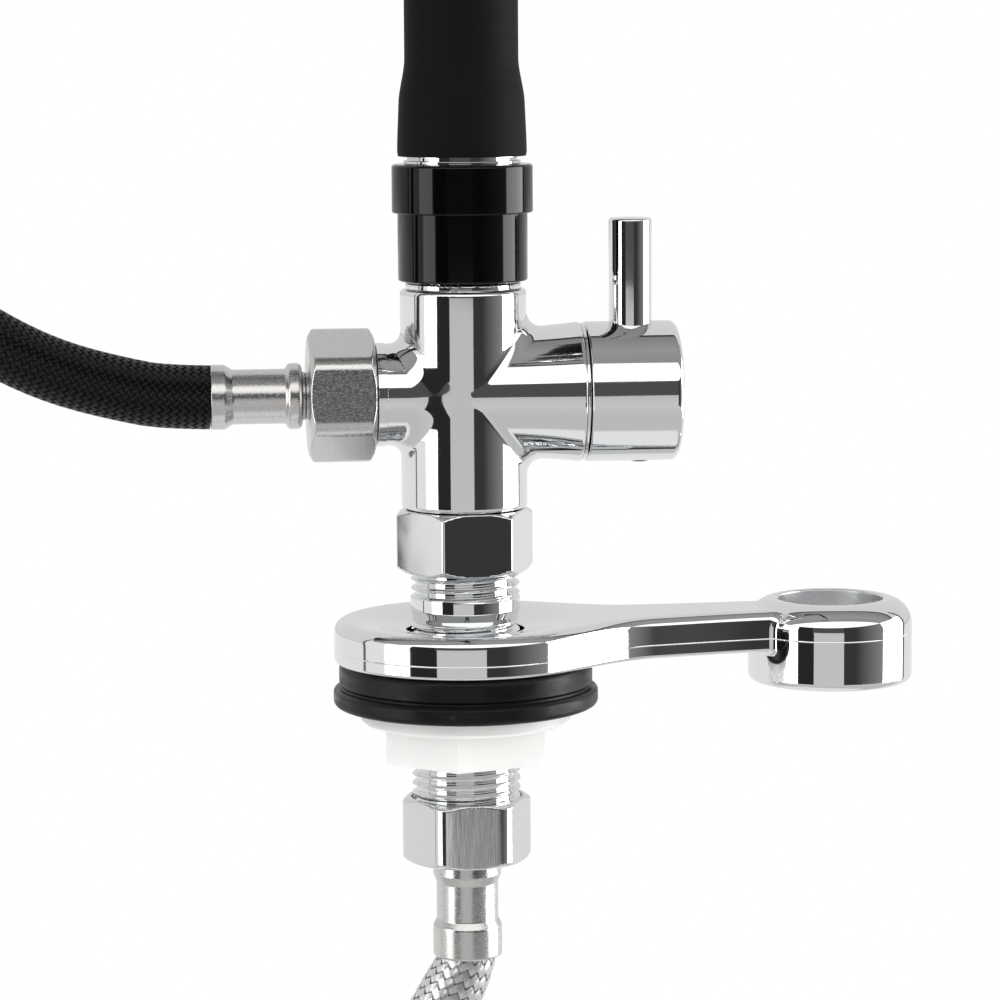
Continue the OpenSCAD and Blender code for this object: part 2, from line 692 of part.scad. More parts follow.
module supply_end_set(piece, bore_r, moving_gap) {
    z = nut_l + 0.4;
    collar = bore_r - 0.3;
    wall = 1.2;
    thread_l = 7.4;
    relief_r = bore_r + 0.4;
    insert_at = thread_l + 1.85;
    if (piece == "nut") difference() {
        hexagon(nut_af, nut_corner_r, 0, nut_l);
        translate([0, 0, -overlap]) cylinder(r = bore_r, h = thread_l + overlap);
        translate([0, 0, thread_l - overlap]) cylinder(r = relief_r, h = nut_l - wall - thread_l);
        cylinder(r = supply_neck_r + gap, h = nut_l + 1);
    }
    if (piece == "washer") ring(collar - 0.1, 5.6, thread_l + 0.1, 1.7);
    if (piece == "insert") difference() {
        spin([
            [0, insert_at], [collar, insert_at], [collar, nut_l - wall - moving_gap],
            [supply_neck_r, nut_l - wall - moving_gap],
            [supply_neck_r, z], [supply_neck_r - 0.6, z + 0.6],
            [supply_neck_r - 0.6, z + supply_ferrule_l - 0.3],
            [0, z + supply_ferrule_l - 0.3]
        ]);
        cylinder(r = 3.6, h = 60);
    }
    if (piece == "ferrule") difference() {
        spin([
            [0, z], [supply_mouth_r - 0.5, z], [supply_mouth_r - 0.1, z + 0.5],
            [supply_mouth_r - 0.15, z + 2.4],
            [supply_ferrule_r, z + 4.2], [supply_ferrule_r, z + 11.2], [supply_mouth_r, z + 12.7],
            [supply_mouth_r, z + supply_ferrule_l - 0.3], [supply_mouth_r - 0.3, z + supply_ferrule_l],
            [0, z + supply_ferrule_l]
        ]);
        translate([0, 0, z - 1]) cylinder(r = supply_neck_r + 0.1, h = 60);
    }
}

module at_supply_top()
    translate([0, 0, supply_nut_top]) rotate([180, 0, 0]) rotate([0, 0, supply_nut_turn]) children();
module at_supply_end() translate([end_x, 0, end_nut_top - nut_l]) children();

module supply_nut() { color("#cfd2d3") at_supply_top() supply_end_set("nut", supply_bore_r, 0.1); }
module supply_washer() { color("#22252a") at_supply_top() supply_end_set("washer", supply_bore_r, 0.1); }
module supply_insert() { color("#c8b070") at_supply_top() supply_end_set("insert", supply_bore_r, 0.1); }
module supply_ferrule() { color("#d3d5d4") at_supply_top() supply_end_set("ferrule", supply_bore_r, 0.1); }
module supply_end_nut() { color("#cfd2d3") at_supply_end() supply_end_set("nut", end_bore_r, gap); }
module supply_end_washer() { color("#22252a") at_supply_end() supply_end_set("washer", end_bore_r, gap); }
module supply_end_insert() { color("#c8b070") at_supply_end() supply_end_set("insert", end_bore_r, gap); }
module supply_end_ferrule() { color("#d3d5d4") at_supply_end() supply_end_set("ferrule", end_bore_r, gap); }
module supply_hose() { color("#b9bcbd") hose_tube(SUPPLY_RUN, [0, 1, 0], [0, 0, -1], [0, 0, -1]); }

module at_left_port() along_left() translate([0, 0, left_port_x + 0.2]) children();

module hose_nut() {
    color("#c9c7c2") at_left_port() union_nut(left_thread_r + fit, insert_neck_r + loose, hose_nut_turn);
}
module hose_washer() { color("#22252a") at_left_port() end_washer(); }
module hose_insert() { color("#c8b070") at_left_port() end_insert(); }
module hose_o_rings() { color("#22252a") at_left_port() end_o_rings(); }
module hose_ferrule() { color("#c9c7c2") at_left_port() end_ferrule(); }
module spray_hose_lower() { color("#1c1d1f") hose_tube(LOWER_RUN, [0, 1, 0], [-1, 0, 0], [0, 0, 1]); }

module at_spray_tail() at_spray(spray_nut_z) children();

module spray_nut() {
    color("#c9c7c2") at_spray_tail() union_nut(left_thread_r + fit, insert_neck_r + loose, spray_nut_turn);
}
module spray_washer() { color("#22252a") at_spray_tail() end_washer(); }
module spray_insert() { color("#c8b070") at_spray_tail() end_insert(); }
module spray_o_rings() { color("#22252a") at_spray_tail() end_o_rings(); }
module spray_ferrule() { color("#c9c7c2") at_spray_tail() end_ferrule(); }
module spray_hose_upper() {
    color("#1c1d1f") hose_tube(UPPER_RUN, [spray_reach, -clip_x, 0], [0, 0, 1], [0, 0, -1]);
}

// ---- Arm ----

module swivel_sleeve() {
    color("#0c0c0e") difference() {
        spin([
            [0, sleeve_z], [sleeve_low_r - 0.4, sleeve_z], [sleeve_low_r, sleeve_z + 0.4],
            [sleeve_low_r, sleeve_step_z],
            [sleeve_top_r - 0.3, sleeve_step_z], [sleeve_top_r, sleeve_step_z + 0.3],
            [sleeve_top_r, sleeve_top - 0.6],
            [sleeve_top_r - 0.6, sleeve_top], [0, sleeve_top]
        ]);
        translate([0, 0, sleeve_z - 1]) cylinder(r = post_r + fit, h = 30);
        translate([0, 0, arm_socket_z]) cylinder(r = arm_ferrule_r + fit, h = 30);
        translate([0, 0, groove_z]) rotate([-90, 0, 0]) cylinder(r = 1.55, h = 20);
    }
}

module swivel_o_ring() {
    color("#17181a") torus(post_r - 0.6, 0.58, ring_groove_z + 0.75);
}

module sleeve_grub_screw() {
    tip_r = groove_h / 2 - 0.4;
    color("#6f7479") translate([0, 0, groove_z]) rotate([-90, 0, 0]) difference() {
        union() {
            translate([0, 0, post_r - 1 + gap]) cylinder(r = tip_r, h = 2);
            translate([0, 0, post_r + gap]) cylinder(r = 1.5, h = 3.7);
        }
        translate([0, 0, post_r + gap + 1.8]) cylinder(r = 0.75, h = 3, $fn = 6);
    }
}

// Ferrule crimped on the arm's end: at z = 0 the cover begins, the cover's seat is above it
module arm_end_fitting(below) difference() {
    spin([
        [0, -below], [arm_ferrule_r, -below], [arm_ferrule_r, 0], [cover_end_r - cover_wall - fit, 0],
        [cover_end_r - cover_wall - fit, cover_seat_h], [0, cover_seat_h]
    ]);
    translate([0, 0, -below + 2]) cylinder(r = core_r - fit, h = 60);
    translate([0, 0, -below - 1]) cylinder(r = 3, h = 60);
}

module arm_ferrule() {
    color("#d9dcde") translate([0, 0, cover_z]) arm_end_fitting(cover_z - arm_socket_z - 0.1);
}

module arm_end_ferrule() {
    color("#d9dcde") translate([0, -cover_end_y, arm_top]) rotate([-90, 0, 0]) arm_end_fitting(7);
}

// The arm's swept round, r in radius, with both ends trimmed back by the given lengths
module arm_round(r, low_z, end_y) {
    translate([0, 0, low_z]) cylinder(r = r, h = arm_straight_z - low_z);
    translate([0, -arm_bend_r, arm_straight_z]) rotate([90, 0, 90])
        rotate_extrude(angle = 90) translate([arm_bend_r, 0]) circle(r = r);
    along_front(arm_bend_r, arm_top) cylinder(r = r, h = end_y - arm_bend_r);
}

module gooseneck_core() {
    color("#8d9194") difference() {
        arm_round(core_r - 2 * fit, cover_z - 4, cover_end_y + 4);
        arm_round(core_r - 3.4, cover_z - 5, cover_end_y + 5);
    }
}

module cover_end() spin([
    [0, 0], [cover_end_r - 0.4, 0], [cover_end_r, 0.5], [cover_end_r - 0.3, 6],
    [cover_end_r - 0.35, cover_seat_h - 0.5],
    [cover_end_r - 0.7, cover_seat_h + 1.2], [cover_r + 0.35, cover_seat_h + cover_taper_h - 1],
    [cover_r, cover_seat_h + cover_taper_h + 1], [0, cover_seat_h + cover_taper_h + 1]
]);

module cover_bore_end()
    translate([0, 0, -overlap]) cylinder(r = cover_end_r - cover_wall, h = cover_seat_h + 0.1);

module arm_cover() {
    color("#1a1b1c") difference() {
        union() {
            arm_round(cover_r, cover_z + cover_seat_h, cover_end_y - cover_seat_h);
            translate([0, 0, cover_z]) cover_end();
            translate([0, -cover_end_y, arm_top]) rotate([-90, 0, 0]) cover_end();
        }
        arm_round(core_r, cover_z - 1, cover_end_y + 1);
        translate([0, 0, cover_z]) cover_bore_end();
        translate([0, -cover_end_y, arm_top]) rotate([-90, 0, 0]) cover_bore_end();
    }
}

module arm_end_cap() {
    color("#0c0c0e") along_front(cap_y, arm_top) difference() {
        spin([
            [0, 0], [sleeve_top_r - 0.6, 0], [sleeve_top_r, 0.6], [sleeve_top_r, cap_l - 1.5],
            [sleeve_top_r - 1.5, cap_l],
            [0, cap_l]
        ]);
        translate([0, 0, -overlap]) cylinder(r = arm_ferrule_r + fit, h = 5.5);
        translate([0, 0, 9]) cylinder(r = stud_r + fit, h = 20);
    }
}

module spray_fork() {
    stud_y = cap_y + 9.2;
    ring_y = spray_reach - fork_ring_r;
    color("#d9dcde") difference() {
        union() {
            along_front(stud_y, arm_top) cylinder(r = stud_r, h = ring_y - stud_y + 2);
            along_front(cap_y + cap_l, arm_top) cylinder(r = 6, h = ring_y - cap_y - cap_l + 0.5);
            at_spray(fork_z) cylinder(r = fork_ring_r, h = fork_h);
        }
        at_spray(fork_z - 10) translate([-fork_slot_r, -40, 0]) cube([2 * fork_slot_r, 40, fork_h + 20]);
        at_spray(fork_z - 10) cylinder(r = fork_slot_r, h = fork_h + 20);
    }
}

module hose_clip() {
    bore = hose_r + 0.2;
    color("#141517") translate([0, 0, clip_z]) difference() {
        union() {
            cylinder(r = cover_r + 2.6, h = clip_h);
            translate([clip_x, 0, 0]) cylinder(r = bore + 2.2, h = clip_h);
            translate([clip_x, -4, 0]) cube([-clip_x, 8, clip_h]);
        }
        translate([0, 0, -1]) cylinder(r = cover_r + fit, h = clip_h + 2);
        translate([clip_x, 0, -1]) cylinder(r = bore, h = clip_h + 2);
    }
}

// ---- Hand spray ----

module spray_tail() {
    color("#d9dcde") at_spray() difference() {
        spin(concat(
            [
                [0, grip_top - 9], [handle_r - 2.2, grip_top - 9], [handle_r - 2.2, grip_top],
                [grip_r - 1, grip_top], [grip_r - 1, flange_bottom + 4],
                [fork_neck_r + 1, flange_bottom + 5.6],
                [fork_neck_r, flange_bottom + 5.6], [fork_neck_r, fork_top + gap],
                [collar_r - 0.6, fork_top + gap], [collar_r, fork_top + gap + 0.6],
                [collar_r, collar_top - 0.6],
                [collar_r - 0.6, collar_top]
            ],
            flank(left_thread_r, collar_top, spray_nut_z + washer_at - 0.1, half_pitch, half_depth),
            [[0, spray_nut_z + washer_at - 0.1]]
        ));
        translate([0, 0, grip_top - 10]) cylinder(r = 4.5, h = 60);
    }
}

module spray_grip() {
    color("#202224") at_spray() difference() {
        spin([
            [0, grip_bottom], [grip_r - 1.2, grip_bottom], [grip_r, grip_bottom + 1.2],
            [grip_r, grip_bottom + 8],
            [grip_r - 1, grip_bottom + 14], [grip_r - 1.6, grip_bottom + grip_l * 0.45],
            [grip_r - 1, grip_top - 14], [grip_r, grip_top - 6], [grip_r, grip_top - 1.2],
            [grip_r - 1.2, grip_top],
            [0, grip_top]
        ]);
        translate([0, 0, grip_bottom - 1]) cylinder(r = handle_r + fit, h = grip_l + 2);
    }
}

module pivot_ear(side) translate([side * (ear_x + ear_t / 2) - ear_t / 2, 0, 0]) hull() {
    translate([0, pivot_y, pivot_z]) rotate([0, 90, 0]) cylinder(r = hub_r, h = ear_t, $fn = 32);
    translate([0, pivot_y + 9, pivot_z - 3]) cube([ear_t, 4, stem_rise - 7]);
}

module spray_body() {
    color("#d9dcde") difference() {
        union() {
            at_spray() spin([
                [0, outlet_bottom - 6], [7.4, outlet_bottom - 6], [7.4, outlet_bottom], [9.4, outlet_bottom],
                [9.4, block_bottom - 2], [11, block_bottom], [11, stem_z - 8], [11.6, stem_z + 12],
                [block_r - 1, block_top - 4],
                [block_r - 1, block_top], [handle_r, block_top], [handle_r, grip_top - 0.2],
                [0, grip_top - 0.2]
            ]);
            translate([0, -spray_reach - 13.5, stem_z]) rotate([-90, 0, 0]) cylinder(r = 9.2, h = 28);
            pivot_ear(1);
            pivot_ear(-1);
        }
        at_spray(grip_top - 9.5) cylinder(r = handle_r - 2.1, h = 12);
        at_spray(block_top) cylinder(r = 5, h = 120);
        translate([0, -spray_reach + 5.5, stem_z]) cylinder(r = 3, h = block_top - stem_z + 1);
        translate([0, -spray_reach - 4, block_bottom - 4]) cylinder(r = 3, h = stem_z - block_bottom + 4);
        at_spray(outlet_bottom - 7) cylinder(r = 5, h = block_bottom - outlet_bottom + 5);
        translate([0, -spray_reach - 14, stem_z]) rotate([-90, 0, 0]) cylinder(r = 3.8, h = 20);
        translate([0, -spray_reach - 14, stem_z]) rotate([-90, 0, 0]) cylinder(r = 5.6, h = 5);
        translate([0, -spray_reach + seat_y, stem_z]) rotate([-90, 0, 0]) cylinder(r = 6.5, h = 20);
        translate([-15, pivot_y, pivot_z]) rotate([0, 90, 0]) cylinder(r = 2.05, h = 30);
        translate([0.1 - ear_x, pivot_y - 6, pivot_z - 6]) cube([2 * ear_x - 0.2, hub_r + 7, 12]);
    }
}

// Pieces of the stem's bore lie along +Y from the spray's axis
module along_stem(y) translate([0, -spray_reach + y, stem_z]) rotate([-90, 0, 0]) children();

module gland_nut() {
    color("#c9c7c2") along_stem(-17.4) difference() {
        union() {
            cylinder(r = 7, h = 3.6, $fn = 6);
            cylinder(r = 5.5, h = 8.2);
        }
        translate([0, 0, -1]) cylinder(r = stem_r + fit, h = 12);
    }
}

module chamber_plug() {
    color("#d9dcde") along_stem(spring_back + 0.1) difference() {
        union() {
            cylinder(r = 6.4, h = 3);
            translate([0, 0, 1.6]) cylinder(r = 8, h = 3.4);
        }
        translate([0, 0, 3]) cylinder(r = 2.9, h = 4, $fn = 6);
    }
}

module trigger_spring() {
    turns = 5;
    wire = 0.45;
    length = spring_back - spring_front - 2 * wire - 0.2;
    steps = turns * 10;
    coil_r = 4.4;
    slope = atan2(length, turns * 360 * coil_r * PI / 180);
    rings = [for (i = [0:steps]) let (a = 360 * turns * i / steps)
        each [for (k = [0:5]) let (b = 60 * k)
            [(coil_r + wire * cos(b)) * cos(a) + wire * sin(b) * sin(slope) * sin(a),
             (coil_r + wire * cos(b)) * sin(a) - wire * sin(b) * sin(slope) * cos(a),
             length * i / steps + wire * sin(b) * cos(slope)]]];
    walls = [for (i = [0:steps - 1]) each [for (k = [0:5])
        let (a = i * 6 + k, b = i * 6 + (k + 1) % 6) each [[a, b, b + 6], [a, b + 6, a + 6]]]];
    caps = [for (k = [1:4]) each [[0, k + 1, k], [steps * 6, steps * 6 + k, steps * 6 + k + 1]]];
    color("#9a9da0") along_stem(spring_front + wire + 0.1)
        polyhedron(rings, [for (f = concat(walls, caps)) [f[0], f[2], f[1]]]);
}

module pivot_pin() {
    color("#c3c6c8") translate([-9.6, pivot_y, pivot_z]) rotate([0, 90, 0]) {
        cylinder(r = 2, h = 19.2);
        translate([0, 0, -1]) cylinder(r = 3.2, h = 1.01);
    }
}

module spray_bell() {
    color("#d9dcde") at_spray() difference() {
        spin([
            [0, bell_bottom], [bell_r, bell_bottom], [bell_r, bell_bottom + 3],
            [bell_r - 2.6, bell_bottom + 9],
            [12.6, bell_bottom + 17], [10.4, outlet_bottom - 0.1], [0, outlet_bottom - 0.1]
        ]);
        spin([
            [0, bell_bottom - 1], [face_r + 0.1, bell_bottom - 1], [face_r + 0.1, bell_bottom + 3],
            [bell_r - 5, bell_bottom + 9], [7.5, outlet_bottom - 8], [7.5, outlet_bottom + 1],
            [0, outlet_bottom + 1]
        ]);
    }
}

module spray_face() {
    color("#c9cbcc") at_spray(bell_bottom + 0.4) difference() {
        cylinder(r = face_r, h = 2.4);
        for (row = [1:3]) for (i = [0:row * 6 - 1]) rotate([0, 0, 360 * i / (row * 6)])
            translate([row * face_r / 3.7, 0, -1]) cylinder(r = 0.75, h = 5, $fn = 16);
        translate([0, 0, -1]) cylinder(r = 1.6, h = 5);
    }
}

module face_screw() {
    color("#b9bcbe") at_spray(bell_bottom - 0.8) difference() {
        union() {
            cylinder(r = 2.8, h = 1.2);
            cylinder(r = 1.55, h = 8);
        }
        translate([-0.4, -4, -1]) cube([0.8, 8, 1.6]);
    }
}

module bell_bumper() {
    color("#17181a") at_spray() spin(concat(
        [[bell_r + 0.02, bell_bottom + 3]],
        [[bell_r + 0.02, bell_bottom - 0.1], [face_r - 0.6, bell_bottom - 0.1]],
        arc(face_r + 1.4, bell_bottom - 1.4, 2, 180, 270, 4),
        arc(bell_r + 0.3, bell_bottom - 1.4, 2, -90, 0, 4),
        [[bell_r + 2.3, bell_bottom + 2.2], [bell_r + 1.5, bell_bottom + 3]]
    ));
}

// ---- Trigger and valve stem ----

// A thin slice of the lever, w wide, its inner face at y and its underside h above the pivot
module lever_slice(y, h, w = lever_w)
    translate([-w / 2, -spray_reach + y - lever_t, pivot_z + h]) cube([w, lever_t, 0.6]);

module trigger() {
    low_h = 44;
    top_h = grip_l + 30;
    color("#d9dcde") difference() {
        union() {
            translate([-lever_w / 2, pivot_y, pivot_z]) rotate([0, 90, 0]) cylinder(r = hub_r, h = lever_w);
            hull() {
                translate([-lever_w / 2, pivot_y, pivot_z]) rotate([0, 90, 0])
                    cylinder(r = hub_r - 0.1, h = lever_w, $fn = 32);
                lever_slice(lever_foot_y, 7);
            }
            hull() { lever_slice(lever_foot_y, 7); lever_slice(lever_foot_y, stem_rise + 5); }
            hull() {
                lever_slice(lever_foot_y, stem_rise + 5);
                lever_slice(lever_y(low_h), low_h, lever_w + 2.6);
            }
            hull() {
                lever_slice(lever_y(low_h), low_h, lever_w + 2.6);
                lever_slice(lever_y(top_h), top_h, lever_w + 3.6);
            }
            hull() {
                lever_slice(lever_y(top_h), top_h, lever_w + 3.6);
                lever_slice(lever_y(top_h) - 5, top_h + 7, lever_w + 0.6);
            }
        }
        translate([-15, pivot_y, pivot_z]) rotate([0, 90, 0]) cylinder(r = 2 + fit, h = 30);
    }
}

module valve_stem() {
    color("#c8b070") along_stem(0) {
        translate([0, 0, stem_end_y + 1]) cylinder(r = stem_r, h = seat_y + 1 - stem_end_y);
        translate([0, 0, stem_end_y]) cylinder(r1 = stem_r - 1, r2 = stem_r, h = 1.01);
        translate([0, 0, seat_y + 1.5]) cylinder(r = poppet_r, h = 1.6);
    }
}

module poppet_washer() {
    color("#22252a") along_stem(seat_y + 0.05) ring(poppet_r - 0.1, stem_r + 0.02, 0, 1.4);
}

cross_body();
inlet_shank();
base_plate();
deck_seal();
backnut();
cartridge_housing();
cartridge_seals();
fixed_disc();
cartridge_nut();
moving_disc();
valve_spindle();
knob();
lever_pin();
knob_grub_screw();
supply_nut();
supply_washer();
supply_insert();
supply_ferrule();
supply_hose();
supply_end_ferrule();
supply_end_insert();
supply_end_washer();
supply_end_nut();
hose_nut();
hose_washer();
hose_insert();
hose_o_rings();
hose_ferrule();
spray_hose_lower();
swivel_sleeve();
swivel_o_ring();
sleeve_grub_screw();
arm_ferrule();
gooseneck_core();
arm_cover();
arm_end_ferrule();
arm_end_cap();
spray_fork();
hose_clip();
spray_hose_upper();
spray_tail();
spray_nut();
spray_washer();
spray_insert();
spray_o_rings();
spray_ferrule();
spray_grip();
spray_body();
gland_nut();
chamber_plug();
trigger_spring();
pivot_pin();
spray_bell();
spray_face();
face_screw();
bell_bumper();
trigger();
valve_stem();
poppet_washer();
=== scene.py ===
"""Looks of a pre rinse faucet: chrome castings, rubber arm, plaited hoses, hand spray and a pale studio."""

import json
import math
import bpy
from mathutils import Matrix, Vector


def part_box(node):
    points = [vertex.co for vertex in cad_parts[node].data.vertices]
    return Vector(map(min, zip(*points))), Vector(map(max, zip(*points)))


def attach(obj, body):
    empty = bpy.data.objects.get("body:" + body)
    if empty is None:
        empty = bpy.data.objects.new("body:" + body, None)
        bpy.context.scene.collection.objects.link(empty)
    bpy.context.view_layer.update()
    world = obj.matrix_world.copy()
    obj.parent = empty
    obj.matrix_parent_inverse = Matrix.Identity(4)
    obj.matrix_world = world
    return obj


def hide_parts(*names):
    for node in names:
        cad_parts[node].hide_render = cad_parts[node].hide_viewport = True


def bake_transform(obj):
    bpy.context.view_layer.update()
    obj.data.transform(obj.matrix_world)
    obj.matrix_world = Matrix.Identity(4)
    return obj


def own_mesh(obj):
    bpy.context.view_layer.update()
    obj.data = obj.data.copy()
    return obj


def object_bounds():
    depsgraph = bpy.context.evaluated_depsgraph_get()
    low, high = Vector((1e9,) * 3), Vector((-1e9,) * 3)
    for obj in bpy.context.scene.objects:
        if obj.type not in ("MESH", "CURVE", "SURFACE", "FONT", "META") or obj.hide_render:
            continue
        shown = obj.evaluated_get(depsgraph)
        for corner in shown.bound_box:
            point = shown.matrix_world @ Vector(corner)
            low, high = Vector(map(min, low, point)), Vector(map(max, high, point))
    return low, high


bl_info = {
    "name": "Pre Rinse Faucet",
    "version": (1, 0, 0),
    "blender": (4, 5, 0),
    "location": "View3D > Sidebar > Faucet",
    "description": "Builds the finish of a deck-mounted pre rinse faucet round its packed frame",
    "category": "Object",
}

import bpy
import numpy as np
from bpy.props import FloatProperty, FloatVectorProperty, IntProperty, StringProperty
from mathutils import Matrix, Vector

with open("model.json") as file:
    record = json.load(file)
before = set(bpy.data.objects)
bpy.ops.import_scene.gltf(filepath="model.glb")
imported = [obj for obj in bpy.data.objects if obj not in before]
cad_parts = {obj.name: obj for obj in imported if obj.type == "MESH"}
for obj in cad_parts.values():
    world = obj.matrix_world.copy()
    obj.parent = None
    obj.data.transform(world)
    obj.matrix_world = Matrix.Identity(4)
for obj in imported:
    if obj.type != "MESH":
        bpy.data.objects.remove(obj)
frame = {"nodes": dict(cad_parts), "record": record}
CAD_BOX = [list(corner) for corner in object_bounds()]

MM = 0.001


# ---------------- settings


class FAUCET_PG_Camera(bpy.types.PropertyGroup):
    """Where the camera stands and how it looks."""

    place: FloatVectorProperty(
        name="Place", description="Camera position", default=(-0.0646, -0.6910, 0.1282),
        subtype="TRANSLATION", unit="LENGTH",
    )
    aim: FloatVectorProperty(
        name="Aim", description="Direction of view", default=(0.1020, 0.9866, -0.1269), subtype="DIRECTION"
    )
    roll: FloatProperty(
        name="Roll", description="Turn of the picture", default=math.radians(-0.35), subtype="ANGLE"
    )
    lens: FloatProperty(name="Lens", description="Focal length on a 36 mm sensor", default=131.4, min=10)


class FAUCET_PG_Studio(bpy.types.PropertyGroup):
    """Floor, backdrop and the dark and light cards that the chrome shows."""

    floor_gap: FloatProperty(
        name="Floor gap", description="Room between the hose end and the floor", default=0.0015, unit="LENGTH"
    )
    floor_size: FloatProperty(name="Floor size", description="Side of the floor", default=14.0, unit="LENGTH")
    floor_colour: StringProperty(name="Floor colour", description="sRGB hex", default="FAFAFA")
    card_radius: FloatProperty(
        name="Card radius", description="Distance of the reflection cards", default=1.1, unit="LENGTH"
    )


class FAUCET_PG_Hoses(bpy.types.PropertyGroup):
    """Sizes of the spray hose and the supply hose."""

    radius: FloatProperty(name="Radius", description="Outside radius", default=6.1 * MM, unit="LENGTH")
    spray_carriers: IntProperty(name="Spray strands", description="Strands one way round", default=24)
    ribbons: IntProperty(name="Ribbons", description="Steel ribbons one way round", default=16)
    ribbon_width: FloatProperty(
        name="Ribbon width", description="Width of a ribbon", default=1.6 * MM, unit="LENGTH"
    )
    ribbon_rise: FloatProperty(
        name="Ribbon rise", description="Rise over a crossing", default=0.26 * MM, unit="LENGTH"
    )


class FAUCET_PG_Body(bpy.types.PropertyGroup):
    """Sizes of the cross body, the shank and the knob, in millimetres."""

    centre_z: FloatProperty(name="Port height", description="Height of both ports", default=60)
    tube_r: FloatProperty(name="Tube radius", description="Upright tube", default=12.05)
    left_r: FloatProperty(name="Left port radius", description="Port to the spray hose", default=9.7)
    left_end: FloatProperty(name="Left port reach", description="Shoulder of the left port", default=17)
    right_r: FloatProperty(name="Right port radius", description="Where it leaves the tube", default=12.1)
    rim_r: FloatProperty(name="Right rim radius", description="At the knob", default=13.35)
    right_end: FloatProperty(name="Right port reach", description="Rim beside the knob", default=22.3)
    port_fillet: FloatProperty(name="Fillet", description="Where the right port meets the tube", default=3.2)
    left_fillet: FloatProperty(name="Left fillet", description="Where the left port meets it", default=2.3)
    pitch: FloatProperty(name="Pitch", description="Thread pitch of the shank", default=1.814)
    thread_depth: FloatProperty(name="Thread depth", description="Depth of the shank's thread", default=1.1)


class FAUCET_PG_Plate(bpy.types.PropertyGroup):
    """Sizes of the base plate and its spray rest, in millimetres."""

    disc_r: FloatProperty(name="Disc radius", description="Round plate", default=25.3)
    bottom: FloatProperty(name="Underside", description="Height of the plate's underside", default=8.6)
    top: FloatProperty(name="Rim height", description="Top of the rim", default=16.6)
    dish: FloatProperty(name="Dish", description="Depth of the dish at the shank", default=2.1)
    edge: FloatProperty(name="Edge", description="Radius of the top edge", default=2.3)
    turn: FloatProperty(name="Turn", description="Turn of the arm", default=math.radians(7), subtype="ANGLE")
    reach: FloatProperty(name="Reach", description="Shank to spray rest", default=73.5)
    half_root: FloatProperty(name="Root half width", description="Arm at the disc", default=10.5)
    half_tip: FloatProperty(name="Tip half width", description="Arm at the rest", default=8)
    root_fillet: FloatProperty(name="Root fillet", description="Arm to disc, seen from above", default=11)
    rest_r: FloatProperty(name="Rest radius", description="Outside of the spray rest", default=16.1)
    rest_bore: FloatProperty(name="Rest bore", description="Radius of the rest's bore", default=10.35)
    rest_low: FloatProperty(name="Rest underside", description="Height", default=1.4)
    rest_high: FloatProperty(name="Rest top", description="Height", default=17.7)
    parting: FloatProperty(name="Parting line", description="Height of the mould's line", default=11.2)


# ---------------- colours and nodes


def linear(hex_code):
    """sRGB hex such as 'C0C0C0' as linear RGBA."""
    parts = [int(hex_code[i : i + 2], 16) / 255 for i in (0, 2, 4)]
    return tuple(c / 12.92 if c <= 0.04045 else ((c + 0.055) / 1.055) ** 2.4 for c in parts) + (1.0,)


def add_node(tree, kind, inputs=None, **settings):
    """Add a shader node, set its own settings, and set or link its inputs by name or number."""
    node = tree.nodes.new("ShaderNode" + kind)
    for key, value in settings.items():
        setattr(node, key, value)
    for key, value in (inputs or {}).items():
        feed(node, key, value)
    return node


def feed(node, key, value):
    """Set one input of a node, or link it."""
    if isinstance(value, bpy.types.NodeSocket):
        node.id_data.links.new(value, node.inputs[key])
    else:
        node.inputs[key].default_value = value


def empty_tree(owner):
    """The node tree of a new material or world, without nodes."""
    owner.use_nodes = True
    owner.node_tree.nodes.clear()
    return owner.node_tree


def new_material(name, colour, metallic=0.0, roughness=0.5, **more):
    """A material with one Principled shader; more holds that shader's own inputs, with _ for a space."""
    material = bpy.data.materials.new(name)
    tree = empty_tree(material)
    inputs = {"Base Color": linear(colour), "Metallic": metallic, "Roughness": roughness}
    inputs.update({key.replace("_", " "): value for key, value in more.items()})
    shader = add_node(tree, "BsdfPrincipled", inputs)
    add_node(tree, "OutputMaterial", {"Surface": shader.outputs["BSDF"]})
    return material, tree, shader


def coordinates(tree, kind="Object"):
    return add_node(tree, "TexCoord").outputs[kind]


def split(tree, vector):
    """X, Y and Z of a vector."""
    return add_node(tree, "SeparateXYZ", {"Vector": vector}).outputs


def maths(tree, operation, first, second=0.0):
    return add_node(tree, "Math", {0: first, 1: second}, operation=operation).outputs["Value"]


def map_range(tree, value, low, high, to_low=0.0, to_high=1.0):
    inputs = {"Value": value, "From Min": low, "From Max": high, "To Min": to_low, "To Max": to_high}
    return add_node(tree, "MapRange", inputs, clamp=True).outputs["Result"]


def mix(tree, fac, low, high):
    """Between two colours, each a socket or linear RGBA."""
    return add_node(tree, "Mix", {"Factor": fac, 6: low, 7: high}, data_type="RGBA").outputs[2]


def mix_colour(tree, fac, low, high, fac_low=0.0, fac_high=1.0):
    """Colour between two hex colours as fac goes from fac_low to fac_high."""
    return mix(tree, map_range(tree, fac, fac_low, fac_high), linear(low), linear(high))


def noise(tree, size_mm, detail=2.0, stretch=(1, 1, 1)):
    """Noise with features of about size_mm, stretched along an axis by less than 1."""
    scaled = add_node(tree, "Mapping", {"Vector": coordinates(tree), "Scale": stretch}).outputs["Vector"]
    inputs = {"Vector": scaled, "Scale": 1.0 / (size_mm * MM), "Detail": detail}
    return add_node(tree, "TexNoise", inputs).outputs["Fac"]


def bump(tree, shader, height, depth_mm):
    """Bump of a real depth in millimetres on a shader."""
    node = add_node(tree, "Bump", {"Height": height, "Distance": depth_mm * MM})
    feed(shader, "Normal", node.outputs["Normal"])
    return node


